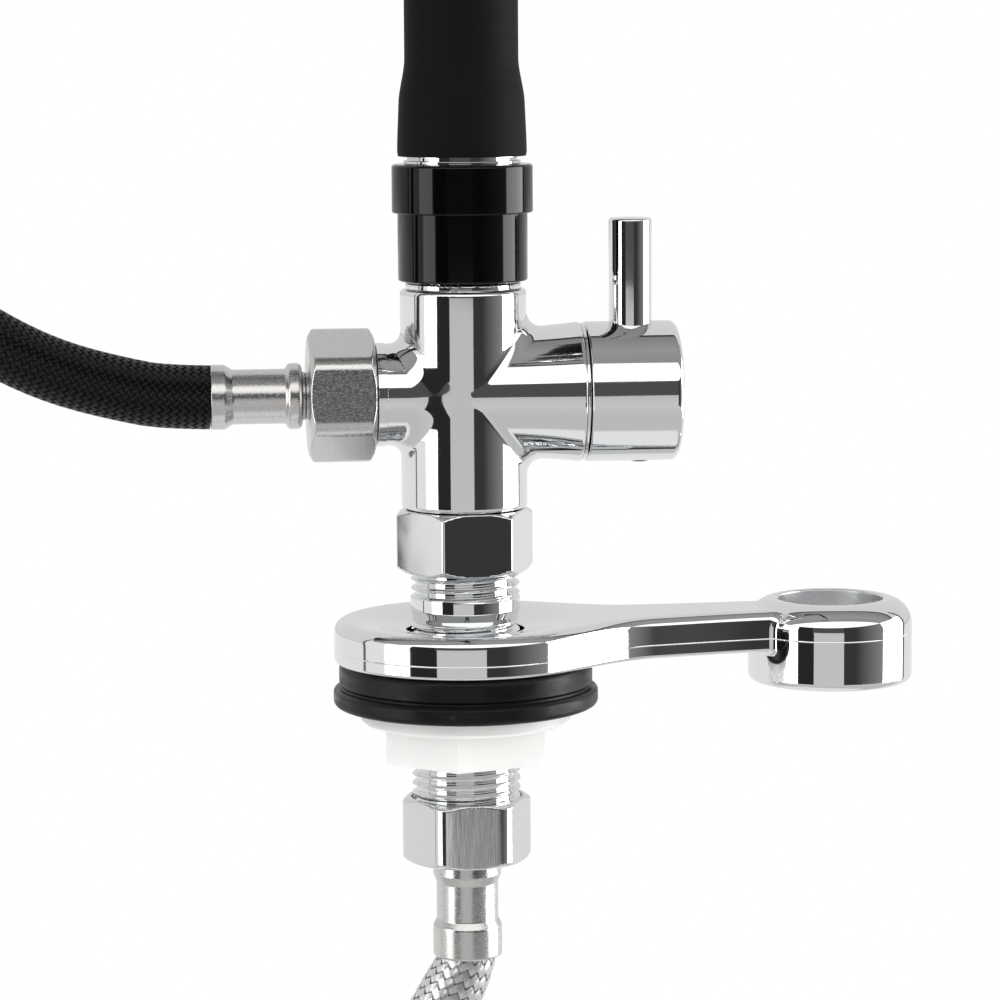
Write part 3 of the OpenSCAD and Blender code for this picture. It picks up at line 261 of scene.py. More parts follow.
def grained(name, colour, metallic, roughness, grain_mm, detail, depth_mm, stretch=(1, 1, 1), **more):
    """A finish of one colour with a fine grain of its own size and depth."""
    material, tree, shader = new_material(name, colour, metallic, roughness, **more)
    bump(tree, shader, noise(tree, grain_mm, detail, stretch), depth_mm)
    return material


# ---------------- materials


def chrome_plate():
    """Bright chrome on polished brass: a clean mirror with a slight waviness from the polishing wheel."""
    material, tree, shader = new_material("chrome_plate", "E6E7E8", 1.0, 0.045)
    bump(tree, shader, noise(tree, 9.0, 1.0), 0.012)
    smudge = noise(tree, 14.0, 4.0)
    feed(shader, "Roughness", map_range(tree, smudge, 0.45, 0.75, 0.035, 0.085))
    return material


def cast_chrome(parting, hook, bore):
    """Chrome on a die casting: the same mirror with the mould's parting line, satin in the rest's bore."""
    material = chrome_plate()
    material.name = "chrome_casting"
    tree = material.node_tree
    shader = next(node for node in tree.nodes if node.type == "BSDF_PRINCIPLED")
    waves, skin = (shader.inputs[key].links[0].from_socket for key in ("Normal", "Roughness"))
    place = split(tree, coordinates(tree))
    off = maths(tree, "ABSOLUTE", maths(tree, "SUBTRACT", place["Z"], parting * MM))
    ridge = map_range(tree, off, 0.0, 0.12 * MM, 1.0, 0.0)
    line = add_node(tree, "Bump", {"Height": ridge, "Distance": 0.05 * MM, "Normal": waves})
    feed(shader, "Normal", line.outputs["Normal"])
    flat = add_node(tree, "CombineXYZ", {0: place["X"], 1: place["Y"]}).outputs["Vector"]
    centre = (hook[0] * MM, hook[1] * MM, 0)
    offset = add_node(tree, "VectorMath", {0: flat, 1: centre}, operation="DISTANCE").outputs["Value"]
    inside = map_range(tree, offset, (bore + 0.1) * MM, (bore + 0.5) * MM, 0.3, 0.0)
    feed(shader, "Roughness", maths(tree, "ADD", skin, inside))
    return material


def satin_nickel():
    """Nickel plate on turned steel, left satin: faintly warm, with bright flecks along the tool's feed."""
    material, tree, shader = new_material("satin_nickel", "D0CECB", 1.0, 0.24)
    flecks = noise(tree, 0.22, 3.0, (0.35, 1.0, 1.0))
    bump(tree, shader, flecks, 0.003)
    feed(shader, "Base Color", mix_colour(tree, flecks, "CAC8C6", "DAD8D6", 0.4, 0.62))
    feed(shader, "Roughness", map_range(tree, flecks, 0.4, 0.65, 0.19, 0.3))
    return material


def plated_steel():
    """Bright plate over ground steel: clean, but the flats towards the user show fine grinding lines."""
    material, tree, shader = new_material("plated_steel", "DDDEDF", 1.0, 0.12)
    facing = split(tree, add_node(tree, "NewGeometry").outputs["Normal"])["Y"]
    front = map_range(tree, facing, -0.96, -0.99)
    shown = maths(tree, "MULTIPLY", noise(tree, 0.2, 3.0, (1.0, 1.0, 0.04)), front)
    bump(tree, shader, shown, 0.01)
    feed(shader, "Base Color", mix_colour(tree, shown, "DDDEDF", "B4B5B6", 0.35, 0.7))
    feed(shader, "Roughness", map_range(tree, shown, 0.2, 0.7, 0.1, 0.3))
    return material


def arm_rubber():
    """Soft extruded rubber: matte and dusty, with a very fine grain and pale specks of dust."""
    material, tree, shader = new_material("arm_rubber", "0F0F10", 0.0, 0.6, Specular_IOR_Level=0.07)
    dust = noise(tree, 0.35, 4.0)
    feed(shader, "Base Color", mix_colour(tree, dust, "0F0F10", "3A3A3B", 0.69, 0.84))
    bump(tree, shader, noise(tree, 0.22, 3.0), 0.035)
    return material


def deck_rubber():
    """Moulded nitrile rubber: darker and a little shinier than the arm's cover, with scuffs."""
    material, tree, shader = new_material("deck_rubber", "0E0E0F", 0.0, 0.36, Specular_IOR_Level=0.22)
    scuffs = noise(tree, 2.4, 5.0, (0.4, 0.4, 1.0))
    feed(shader, "Base Color", mix_colour(tree, scuffs, "0C0C0D", "2E2E2F", 0.62, 0.8))
    feed(shader, "Roughness", map_range(tree, scuffs, 0.35, 0.7, 0.28, 0.5))
    bump(tree, shader, noise(tree, 0.6, 4.0), 0.03)
    return material


def white_nylon():
    """Milky injection-moulded nylon: light soaks in a little."""
    return grained(
        "white_nylon", "F0F0EE", 0.0, 0.42, 0.8, 2.0, 0.02,
        Subsurface_Weight=0.35, Subsurface_Scale=0.003, Subsurface_Radius=(1.0, 0.95, 0.9),
    )


def grip_rubber():
    """Moulded grip: a matte black rubber skin with a leathery grain."""
    material, tree, shader = new_material("grip_rubber", "1B1C1D", 0.0, 0.5, Specular_IOR_Level=0.4)
    inputs = {"Vector": coordinates(tree), "Scale": 1 / (0.7 * MM)}
    grain = add_node(tree, "TexVoronoi", inputs, feature="SMOOTH_F1").outputs["Distance"]
    bump(tree, shader, grain, 0.06)
    feed(shader, "Base Color", mix_colour(tree, grain, "1D1E1F", "161617", 0.2, 0.8))
    return material


def black_plait():
    """Black nylon yarn plaited over the hose: fine diagonal ribs, with a painted grey highlight along the
    crown of each rib on top and painted shade at its edges.
    """
    material, tree, shader = new_material("black_plait", "0C0C0D", 0.0, 0.3, Specular_IOR_Level=0.1)
    hoses = bpy.context.scene.faucet_hoses
    uv = split(tree, coordinates(tree, "UV"))
    turns = maths(tree, "MULTIPLY", uv["X"], hoses.spray_carriers)
    rise = maths(tree, "MULTIPLY", uv["Y"], hoses.spray_carriers / (2 * math.pi * hoses.radius))
    first, second = maths(tree, "ADD", turns, rise), maths(tree, "SUBTRACT", turns, rise)
    ribs = [maths(tree, "PINGPONG", family, 0.5) for family in (first, second)]
    parity = maths(tree, "ADD", maths(tree, "FLOOR", first), maths(tree, "FLOOR", second))
    on_top = maths(tree, "FLOORED_MODULO", parity, 2.0)
    over = add_node(tree, "Mix", {"Factor": on_top, 2: ribs[0], 3: ribs[1]}).outputs[0]
    # Painted highlight and painted shade: the base colour is lighter on the crown of each rib and darker at
    # its edges
    feed(shader, "Base Color", mix_colour(tree, over, "030304", "1E1E1F", 0.15, 0.48))
    bump(tree, shader, over, 0.55)
    return material


def braid_steel():
    """Bright stainless ribbons, each of several fine wires laid side by side, with painted shade in the
    grooves between the wires and along both edges of each ribbon.
    """
    material, tree, shader = new_material("braid_steel", "E2E3E4", 1.0, 0.3)
    across = split(tree, coordinates(tree, "UV"))["X"]
    wires = maths(tree, "PINGPONG", maths(tree, "MULTIPLY", across, 6.0), 0.5)
    side = maths(tree, "ABSOLUTE", maths(tree, "SUBTRACT", across, 0.5))
    # Painted shade: each wire is darker towards the grooves beside it
    fine = mix_colour(tree, wires, "C4C5C6", "EAEBEC", 0.0, 0.3)
    # Painted shade along both edges of each ribbon
    feed(shader, "Base Color", mix(tree, map_range(tree, side, 0.4, 0.49), fine, linear("3A3B3C")))
    bump(tree, shader, wires, 0.035)
    return material


SLOT_FINISH = {
    "chrome": chrome_plate,
    "satin_nickel": satin_nickel,
    "plated_nut": plated_steel,
    "black_rubber": deck_rubber,
    "cover_rubber": arm_rubber,
    "white_plastic": white_nylon,
    "black_braid": black_plait,
    "steel_braid": braid_steel,
    "grip_rubber": grip_rubber,
    # Free-cutting brass straight from the lathe
    "brass": lambda: grained("turned_brass", "C9A65E", 1.0, 0.28, 0.3, 2.0, 0.02),
    # Plain stainless steel, lightly drawn
    "steel": lambda: grained("stainless_steel", "B9BBBD", 1.0, 0.3, 0.5, 3.0, 0.01, (1.0, 1.0, 0.1)),
    # Socket screws with a black oxide skin
    "dark_steel": lambda: grained("blackened_steel", "3A3B3D", 0.8, 0.42, 0.2, 2.0, 0.02),
    # Stainless spray plate, finely brushed
    "face_plate": lambda: grained("spray_plate", "BFC1C3", 1.0, 0.26, 0.4, 3.0, 0.012),
    # Black lacquer on the swivel sleeve: deep, with soft-edged bands of light
    "gloss_black": lambda: grained(
        "gloss_black", "040405", 0.0, 0.07, 6.0, 1.0, 0.01, Specular_IOR_Level=0.27
    ),
    # Small O-rings and flat washers: black rubber with a soft shine
    "seal_rubber": lambda: grained("seal_rubber", "26262A", 0.0, 0.4, 0.3, 2.0, 0.02),
    # Lapped alumina discs: off-white and smooth
    "ceramic": lambda: grained("fired_ceramic", "EEE9DF", 0.0, 0.25, 0.4, 2.0, 0.01),
    # Glass-filled black nylon: satin, faintly streaked
    "clip_plastic": lambda: grained("clip_nylon", "18181A", 0.0, 0.38, 0.5, 3.0, 0.03),
}
finishes = {}


def finish_for(slot):
    """The finish of a record slot, made once."""
    if slot not in finishes:
        finishes[slot] = SLOT_FINISH[slot]()
    return finishes[slot]


NODE_SLOT = {part["node"]: part["material_slot"] for part in frame["record"]["subparts"]}
BODIES = frame["record"]["behaviour"]["bodies"]
NODE_BODY = {node: body for body, nodes in BODIES.items() for node in nodes}


# ---------------- modelling helpers


def deselect():
    bpy.ops.object.select_all(action="DESELECT")


def take(piece):
    """Make a piece the one that operators act on."""
    deselect()
    piece.select_set(True)
    bpy.context.view_layer.objects.active = piece


def corner_arc(before, corner, after, radius, steps=7):
    """Points that round off one corner of a profile."""
    to_before, to_after = (before - corner), (after - corner)
    a, b = to_before.normalized(), to_after.normalized()
    angle = a.angle(b)
    reach = min(radius / math.tan(angle / 2), to_before.length * 0.49, to_after.length * 0.49)
    bow = reach * math.tan(angle / 2)
    centre = corner + (a + b).normalized() * (bow / math.sin(angle / 2))
    start, end = corner + a * reach - centre, corner + b * reach - centre
    sweep = start.angle_signed(end)
    return [centre + Matrix.Rotation(-sweep * i / steps, 2) @ start for i in range(steps + 1)]


def rounded(profile):
    """(radius, height) or (radius, height, corner radius) in mm as points with the corners rounded."""
    corners = [Vector(point[:2]) for point in profile]
    points = [corners[0]]
    for i in range(1, len(profile) - 1):
        if len(profile[i]) == 3:
            points += corner_arc(corners[i - 1], corners[i], corners[i + 1], profile[i][2])
        else:
            points.append(corners[i])
    return points + [corners[-1]]


AXIS_TURN = {
    "+Z": Matrix.Identity(4),
    "-Z": Matrix.Rotation(math.pi, 4, "X"),
    "+X": Matrix.Rotation(math.pi / 2, 4, "Y"),
    "-X": Matrix.Rotation(-math.pi / 2, 4, "Y"),
}


LATHE_STEPS = 128


def start_line(name, place):
    """A new mesh in edit mode with one point, from which a line is extruded."""
    deselect()
    bpy.ops.mesh.primitive_plane_add(size=1)
    piece = bpy.context.object
    piece.name = name
    bpy.ops.object.mode_set(mode="EDIT")
    bpy.ops.mesh.merge(type="CENTER")
    bpy.ops.transform.translate(value=place)
    return piece


def extend_line(step):
    bpy.ops.mesh.extrude_vertices_move(TRANSFORM_OT_translate={"value": step})


def spin_line(steps, angle):
    """Sweep the drawn line round the Z axis."""
    bpy.ops.mesh.select_all(action="SELECT")
    bpy.ops.mesh.spin(steps=steps, angle=angle, center=(0, 0, 0), axis=(0, 0, 1))


def turned(name, profile, axis="+Z", origin=(0, 0, 0)):
    """Lathe work: spin a profile of (radius, height, corner radius) in mm round an axis through origin."""
    points = [Vector((p[0] * MM, 0, p[1] * MM)) for p in rounded(profile)]
    piece = start_line(name, points[0])
    for previous, point in zip(points, points[1:]):
        extend_line(point - previous)
    spin_line(LATHE_STEPS, 2 * math.pi)
    bpy.ops.mesh.select_all(action="SELECT")
    bpy.ops.mesh.remove_doubles(threshold=1e-6)
    bpy.ops.mesh.normals_make_consistent(inside=False)
    bpy.ops.object.mode_set(mode="OBJECT")
    piece.data.transform(Matrix.Translation(Vector(origin) * MM) @ AXIS_TURN[axis])
    return settle(piece)


def shaded(piece, sharp):
    """Smooth shading, but for the edges that turn by more than an angle in degrees."""
    take(piece)
    bpy.ops.object.shade_smooth_by_angle(angle=math.radians(sharp))
    return piece


def settle(piece, sharp=35.0):
    """Smooth shading that leaves flats flat: sharp edges by angle, then normals weighted by face area."""
    shaded(piece, sharp)
    bpy.ops.object.modifier_add(type="WEIGHTED_NORMAL")
    piece.modifiers[-1].keep_sharp = True
    bpy.ops.object.modifier_apply(modifier=piece.modifiers[-1].name)
    return piece


def paint(piece, node, slot=None, ride=True):
    """Give a piece a CAD node's finish and body, unless it bends between two bodies."""
    slot = slot or NODE_SLOT[node]
    piece.data.materials.clear()
    piece.data.materials.append(finish_for(slot))
    if ride:
        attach(piece, NODE_BODY[node])
    return piece


def dress(piece, node, ride=True):
    """The same for the piece that stands for the CAD node."""
    paint(piece, node, ride=ride)
    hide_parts(node)
    return piece


def spun(node, profile, axis="+Z", origin=(0, 0, 0)):
    """Lathe work that stands for a CAD node."""
    return dress(turned(node + "_finish", profile, axis, origin), node)


def band(name, node, size, edges, axis, origin, slot=None):
    """A narrow ring beside a CAD node's piece: its inner and outer radius and width, and its edges' radii."""
    inner, outer, width = size
    profile = [(inner, 0), (outer, 0, edges[0]), (outer, width, edges[1]), (inner, width), (inner, 0)]
    return paint(turned(name, profile, axis, origin), node, slot)


def copy_of(node):
    """A CAD node's own shape, its loose triangles merged and its curves shaded smooth."""
    source = frame["nodes"][node]
    piece = source.copy()
    piece.data = source.data.copy()
    piece.name = node + "_finish"
    piece.parent = None
    for key in list(piece.keys()):
        del piece[key]
    bpy.context.collection.objects.link(piece)
    take(piece)
    bpy.ops.object.mode_set(mode="EDIT")
    bpy.ops.mesh.select_all(action="SELECT")
    bpy.ops.mesh.remove_doubles(threshold=1e-6)
    bpy.ops.mesh.customdata_custom_splitnormals_clear()
    bpy.ops.object.mode_set(mode="OBJECT")
    return dress(settle(piece, 30.0), node)


def mesh_piece(name, points, faces, corners=None):
    """A mesh object from points and faces, with a UV pair for each face corner if given."""
    mesh = bpy.data.meshes.new(name)
    mesh.from_pydata(points, [], faces)
    if corners is not None:
        layer = mesh.uv_layers.new(name="UVMap")
        layer.data.foreach_set("uv", np.array(corners, dtype=np.float32).ravel())
    mesh.update()
    return linked(name, mesh)


def linked(name, mesh):
    piece = bpy.data.objects.new(name, mesh)
    bpy.context.collection.objects.link(piece)
    return piece


# ---------------- castings

# A field takes points in mm, one a row, and gives each one's distance to a shape, negative inside it.


def round_edge(first, second, radius):
    """What two shapes have in common, with an outside edge of a radius."""
    u, v = np.maximum(first + radius, 0), np.maximum(second + radius, 0)
    return np.minimum(np.maximum(first, second), -radius) + np.hypot(u, v)


def fillet(first, second, radius):
    """Two shapes joined, with an inside corner of a radius."""
    u, v = np.maximum(radius - first, 0), np.maximum(radius - second, 0)
    return np.maximum(np.minimum(first, second), radius) - np.hypot(u, v)


def rolled(first, second, radius, facing):
    """The same, but it adds nothing where the skins run alongside; facing is the cosine between them."""
    u, v = first - radius, second - radius
    spread = np.maximum(1 - facing**2, 0.0001)
    gap = np.sqrt(np.maximum(u * u + v * v - 2 * u * v * facing, 0) / spread)
    between = (u < facing * v) & (v < facing * u)
    return np.where(between, radius - gap, np.minimum(first, second))


def rod(points, radius, low, high, edge, axis=2, centre=(0, 0)):
    """A round bar along an axis; radius may differ from point to point."""
    a, b = [k for k in range(3) if k != axis]
    across = np.hypot(points[:, a] - centre[0], points[:, b] - centre[1]) - radius
    return round_edge(across, np.abs(points[:, axis] - (low + high) / 2) - (high - low) / 2, edge)


def hexagon(points, flats, turn, corner):
    """An endless hexagonal bar along Z with rounded corners; turn is in degrees."""
    x, y = points[:, 0], points[:, 1]
    angle = np.arctan2(y, x) - math.radians(turn)
    distance = np.hypot(x, y)
    share = np.mod(angle + math.pi / 6, math.pi / 3) - math.pi / 6
    near, side = distance * np.cos(share) - flats / 2 + corner, np.abs(distance * np.sin(share))
    over = side - (flats / 2 - corner) * math.tan(math.pi / 6)
    return np.where(over > 0, np.hypot(np.maximum(near, 0), over) + np.minimum(near, 0), near) - corner


def turned_hexagon(points, middle, half, flats, turn, corner, edge, cone):
    """A hexagonal bar with its corners turned off at both ends; cone is radius, slope and set-back."""
    radius, off = np.hypot(points[:, 0], points[:, 1]), np.abs(points[:, 2] - middle)
    bar = round_edge(hexagon(points, flats, turn, corner), off - half, edge)
    slant = radius - cone[0] + cone[1] * (off - half + cone[2])
    return round_edge(bar, slant / math.hypot(1, cone[1]), 0.25)


def step_up(values, low, high):
    """A smooth step from 0 at low to 1 at high."""
    t = np.clip((values - low) / (high - low), 0, 1)
    return t * t * (3 - 2 * t)


def sampled(field, low, step, count, coarse=4):
    """The field on a grid, worked out in full only near the surface."""
    axes = [low[k] + step * coarse * np.arange((count[k] - 1) // coarse + 1) for k in range(3)]
    grid = np.stack(np.meshgrid(*axes, indexing="ij"), -1)
    rough = field(grid.reshape(-1, 3)).reshape(grid.shape[:3])
    near = [np.minimum((np.arange(n) + coarse // 2) // coarse, len(a) - 1) for n, a in zip(count, axes)]
    values = rough[np.ix_(*near)]
    close = np.abs(values) < 1.6 * coarse * step
    values[close] = field(low + step * np.argwhere(close))
    return values


def slope(field, points, reach=0.02):
    """Gradient of a field at points."""
    steps = reach * np.eye(3)
    return np.stack([(field(points + step) - field(points - step)) / (2 * reach) for step in steps], -1)


def cast(name, field, low, high, step):
    """A smooth casting: the surface where a field is zero, between two corners in mm, in cells of step mm."""
    low = np.array(low, float)
    count = (np.ceil((np.array(high, float) - low) / (4 * step)).astype(int) * 4) + 1
    values = sampled(field, low, step, count)
    inside = values < 0
    corners = [np.array([i, j, k]) for i in (0, 1) for j in (0, 1) for k in (0, 1)]
    windows = [tuple(slice(c, n - 1 + c) for c, n in zip(corner, count)) for corner in corners]
    full = sum(inside[window].astype(np.int8) for window in windows)
    cells = np.argwhere((full > 0) & (full < 8))
    number = np.full(full.shape, -1)
    number[tuple(cells.T)] = np.arange(len(cells))
    points, hits = np.zeros((len(cells), 3)), np.zeros(len(cells))
    for axis, unit in enumerate(np.eye(3, dtype=int)):
        for corner in corners:
            if corner[axis]:
                continue
            a = values[tuple((cells + corner).T)]
            b = values[tuple((cells + corner + unit).T)]
            crossed = (a < 0) != (b < 0)
            share = np.where(crossed, a / np.where(crossed, a - b, 1), 0)
            points[crossed] += (corner + share[:, None] * unit)[crossed]
            hits += crossed
    points = low + step * (cells + points / hits[:, None])
    for _ in range(3):
        grade = slope(field, points)
        shift = field(points) / np.maximum((grade**2).sum(1), 0.25)
        points -= np.clip(shift, -step, step)[:, None] * grade
    faces = []
    for axis in range(3):
        second, third = (axis + 1) % 3, (axis + 2) % 3
        start, end = [slice(None)] * 3, [slice(None)] * 3
        start[axis], end[axis] = slice(None, -1), slice(1, None)
        edges = np.argwhere(inside[tuple(start)] != inside[tuple(end)])
        whole = (edges[:, second] > 0) & (edges[:, third] > 0)
        whole &= (edges[:, second] < count[second] - 1) & (edges[:, third] < count[third] - 1)
        edges = edges[whole]
        back, down = np.eye(3, dtype=int)[second], np.eye(3, dtype=int)[third]
        quads = np.stack([number[tuple((edges - off).T)] for off in (0 * back, back, back + down, down)], -1)
        out = inside[tuple(edges.T)]
        quads[~out] = quads[~out][:, ::-1]
        faces.append(quads)
    mesh = bpy.data.meshes.new(name)
    mesh.from_pydata((points * MM).tolist(), [], np.concatenate(faces).tolist())
    grade = slope(field, points)
    normals = grade / np.linalg.norm(grade, axis=1)[:, None]
    mesh.polygons.foreach_set("use_smooth", [True] * len(mesh.polygons))
    mesh.normals_split_custom_set_from_vertices(normals.tolist())
    return linked(name, mesh)


# ---------------- stage


CARD_HEIGHT = 0.06
CARD_TURN = -5.9  # degrees from -Y to the camera's side
# Name, sRGB hex at both ends, angles from the camera towards its right, elevations, and brightness
CARDS = [
    ("card_right", "3A3A3B", "8C8C8D", 18.5, 76, -26, 20, 1.0),
    ("card_front", "525253", "525253", -26, 18.5, -3, 20, 1.0),
    ("card_left", "2A2A2B", "2A2A2B", -48, -24, -30, 20, 1.0),
    ("card_far_left", "5A5A5B", "5A5A5B", -99, -96, -40, 35, 1.0),
    ("card_far_right", "5A5A5B", "5A5A5B", 117, 121, -40, 35, 1.0),
    ("card_left_sheet", "F4F4F4", "F4F4F4", -96, -73, -26, 20, 1.0),
    ("card_left_window", "FFFFFF", "FFFFFF", -73, -49, -26, 20, 3.0),
    ("card_right_window", "FFFFFF", "FFFFFF", 77, 116, -26, 20, 6.0),
]
# Name, place, size and watts of each lamp, which all point at LAMP_AIM
LAMPS = [
    ("key", (-1.3, -1.5, 1.5), 1.4, 27),
    ("fill", (1.6, -1.2, 0.9), 1.4, 20),
    ("rim", (0.4, 1.8, 1.3), 1.6, 24),
]
LAMP_AIM = Vector((0, 0, 0.1))


def card(name, low_angle, high_angle, low_rise, high_rise, radius):
    """A curved card that only shiny surfaces see, between two angles and two elevations in degrees."""
    start = math.radians(low_angle)
    bottom, top = (radius * math.tan(math.radians(rise)) for rise in (low_rise, high_rise))
    piece = start_line(name, (radius * math.sin(start), -radius * math.cos(start), bottom))
    extend_line((0, 0, top - bottom))
    spin_line(12, math.radians(low_angle - high_angle))
    bpy.ops.object.mode_set(mode="OBJECT")
    for ray in ("camera", "diffuse", "transmission", "shadow", "volume_scatter"):
        setattr(piece, "visible_" + ray, False)
    piece.location = (0, 0, CARD_HEIGHT)
    return piece


def card_material(name, start_colour, end_colour, low_angle, high_angle, strength):
    """A card that shines from one grey, kept for its first third, to another at its last edge."""
    material = bpy.data.materials.new(name)
    tree = empty_tree(material)
    place = split(tree, coordinates(tree))
    angle = maths(tree, "ARCTAN2", place["X"], maths(tree, "MULTIPLY", place["Y"], -1.0))
    middle = low_angle + 0.3 * (high_angle - low_angle)
    shade = mix_colour(tree, angle, start_colour, end_colour, math.radians(middle), math.radians(high_angle))
    add_node(tree, "OutputMaterial", {"Surface": glow(tree, shade, strength)})
    return material


def glow(tree, colour, strength=1.0):
    return add_node(tree, "Emission", {"Color": colour, "Strength": strength}).outputs["Emission"]


def by_ray(tree, fac, first, second):
    """One shader or another, by the kind of ray that asks."""
    return add_node(tree, "MixShader", {0: fac, 1: first, 2: second}).outputs["Shader"]


def ray_kinds(tree):
    """Whether a ray comes from the camera, and whether from a shiny or clear surface."""
    path = add_node(tree, "LightPath").outputs
    return path["Is Camera Ray"], maths(tree, "MAXIMUM", path["Is Glossy Ray"], path["Is Transmission Ray"])


def grey_ramp(tree, fac, stops):
    """Greys along a number, from a list of (position, sRGB hex)."""
    ramp = add_node(tree, "ValToRGB", {"Fac": fac})
    first, last = ramp.color_ramp.elements
    first.position, first.color = stops[0][0], linear(stops[0][1])
    last.position, last.color = stops[-1][0], linear(stops[-1][1])
    for position, colour in stops[1:-1]:
        ramp.color_ramp.elements.new(position).color = linear(colour)
    return ramp.outputs["Color"]


# Greys of the floor in reflections, by its distance from the faucet as a share of FLOOR_REACH in metres
FLOOR_REACH = 5.0
FLOOR_GREYS = [
    (0.0, "F6F6F6"), (0.04, "F6F6F6"), (0.046, "CCCCCC"), (0.1, "CCCCCC"), (0.2, "D6D6D6"), (0.7, "CCCCCC"),
]


def floor_material(colour):
    """Pale paper: white to the camera, and it keeps the shadow."""
    material, tree, shader = new_material("floor_paper", colour, 0.0, 0.9)
    camera_ray, shiny_ray = ray_kinds(tree)
    place = coordinates(tree)
    away = add_node(tree, "VectorMath", {0: place}, operation="LENGTH").outputs["Value"]
    near = grey_ramp(tree, maths(tree, "DIVIDE", away, FLOOR_REACH), FLOOR_GREYS)
    behind = map_range(tree, split(tree, place)["Y"], 0.1, 0.3)
    sheen = glow(tree, mix(tree, behind, near, linear("F2F2F2")))
    share = maths(tree, "MULTIPLY", camera_ray, map_range(tree, away, 0.15, 0.9, 0.6, 1.0))
    seen = by_ray(tree, share, shader.outputs["BSDF"], glow(tree, linear("FFFFFF")))
    output = next(node for node in tree.nodes if node.type == "OUTPUT_MATERIAL")
    feed(output, "Surface", by_ray(tree, shiny_ray, seen, sheen))
    return material


# Greys over the head, from the camera's side at 0 by the ceiling at 0.5 to the wall behind at 1
WORLD_GREYS = [
    (0.0, "CCCCCC"), (0.11, "E8E8E8"), (0.112, "FFFFFF"), (0.283, "FFFFFF"), (0.286, "9A9A9A"),
    (0.42, "A2A2A2"), (0.575, "8B8B8B"), (0.59, "1A1A1A"), (0.602, "1A1A1A"), (0.606, "E2E2E2"),
    (1.0, "E2E2E2"),
]
# The bright white strip of the world, in degrees over the head, and its strength
WORLD_WINDOW = (20, 51, 1.5)


def studio_world():
    """White to the camera, a white room with a grey ceiling to shiny surfaces, dim and even to the rest."""
    world = bpy.data.worlds.new("studio")
    bpy.context.scene.world = world
    tree = empty_tree(world)
    camera_ray, shiny_ray = ray_kinds(tree)
    way = split(tree, coordinates(tree, "Generated"))
    over = maths(tree, "ARCTAN2", way["Z"], maths(tree, "MULTIPLY", way["Y"], -1.0))
    low, high, bright = WORLD_WINDOW
    above = maths(tree, "GREATER_THAN", over, math.radians(low))
    below = maths(tree, "LESS_THAN", over, math.radians(high))
    strength = map_range(tree, maths(tree, "MULTIPLY", above, below), 0.0, 1.0, 1.0, bright)

    def sky(colour, power):
        return add_node(tree, "Background", {"Color": colour, "Strength": power}).outputs["Background"]

    room = sky(grey_ramp(tree, maths(tree, "DIVIDE", over, math.pi), WORLD_GREYS), strength)
    lit = by_ray(tree, shiny_ray, sky(linear("FFFFFF"), 0.5), room)
    surface = by_ray(tree, camera_ray, lit, sky(linear("FFFFFF"), 1.0))
    add_node(tree, "OutputWorld", {"Surface": surface})


def soft_lamp(name, place, size, watts):
    bpy.ops.object.light_add(type="AREA", location=place)
    lamp = bpy.context.object
    lamp.name = name
    lamp.data.size = size
    lamp.data.energy = watts
    lamp.rotation_euler = (LAMP_AIM - Vector(place)).to_track_quat("-Z", "Y").to_euler()
    lamp.visible_glossy = False


class FAUCET_OT_Stage(bpy.types.Operator):
    """Floor, world, lamps, reflection cards and camera"""

    bl_idname = "faucet.stage"
    bl_label = "Stage"

    def execute(self, context):
        studio = context.scene.faucet_studio
        view = context.scene.faucet_camera
        context.scene.view_settings.view_transform = "Standard"
        studio_world()
        low = Vector(CAD_BOX[0])
        deselect()
        bpy.ops.mesh.primitive_plane_add(size=studio.floor_size, location=(0, 0, low.z - studio.floor_gap))
        floor = context.object
        floor.name = "floor"
        floor.data.materials.append(floor_material(studio.floor_colour))
        for name, start_colour, end_colour, low, high, low_rise, high_rise, strength in CARDS:
            low, high = low + CARD_TURN, high + CARD_TURN
            piece = card(name, low, high, low_rise, high_rise, studio.card_radius)
            piece.data.materials.append(card_material(name, start_colour, end_colour, low, high, strength))
        for lamp in LAMPS:
            soft_lamp(*lamp)
        bpy.ops.object.camera_add(location=view.place)
        camera = context.object
        camera.data.sensor_width = 36
        camera.data.lens = view.lens
        camera.data.clip_start, camera.data.clip_end = 0.02, 60
        turn = Vector(view.aim).to_track_quat("-Z", "Y").to_matrix().to_4x4()
        roll = Matrix.Rotation(view.roll, 4, "Z")
        camera.matrix_world = Matrix.Translation(Vector(view.place)) @ (turn @ roll)
        context.scene.camera = camera
        return {"FINISHED"}


# ---------------- hoses

# Points along each hose, in millimetres
LOWER_RUN = [
    (-48.3, 0, 60), (-55, 0, 60.3), (-62, 0, 61.2), (-76, 0, 65), (-88, 0, 70.6), (-100, 0, 78.8),
    (-110, 0, 89), (-118, 0, 100.5), (-124, 0, 113.4), (-127.3, 0, 127), (-128.4, 0, 142), (-126, 0, 169),
    (-118.3, 0, 197), (-106, 0, 223.5), (-90, 0, 246.5), (-75, 0, 262.5), (-60, 0, 278), (-43.5, 0, 301.5),
    (-31, 0, 328), (-24.4, 0, 352), (-21.3, 0, 371), (-21, 0, 378), (-21, 0, 385),
]
UPPER_RUN = [
    (-21, 0, 385), (-21, 0, 415), (-21, 0, 450), (-21, 0, 485), (-21, 0, 515), (-20.6, -3, 538),
    (-19.6, -11.7, 559), (-17.9, -25.6, 577.3), (-15.8, -43.7, 591.3), (-13.2, -64.8, 600.1),
    (-10.5, -87.5, 603.2), (-7.8, -110.1, 600.1), (-5.3, -131.2, 591.3), (-3.1, -149.3, 577.3),
    (-1.4, -163.2, 559), (-0.4, -171.9, 538), (0, -175, 515.3),
]
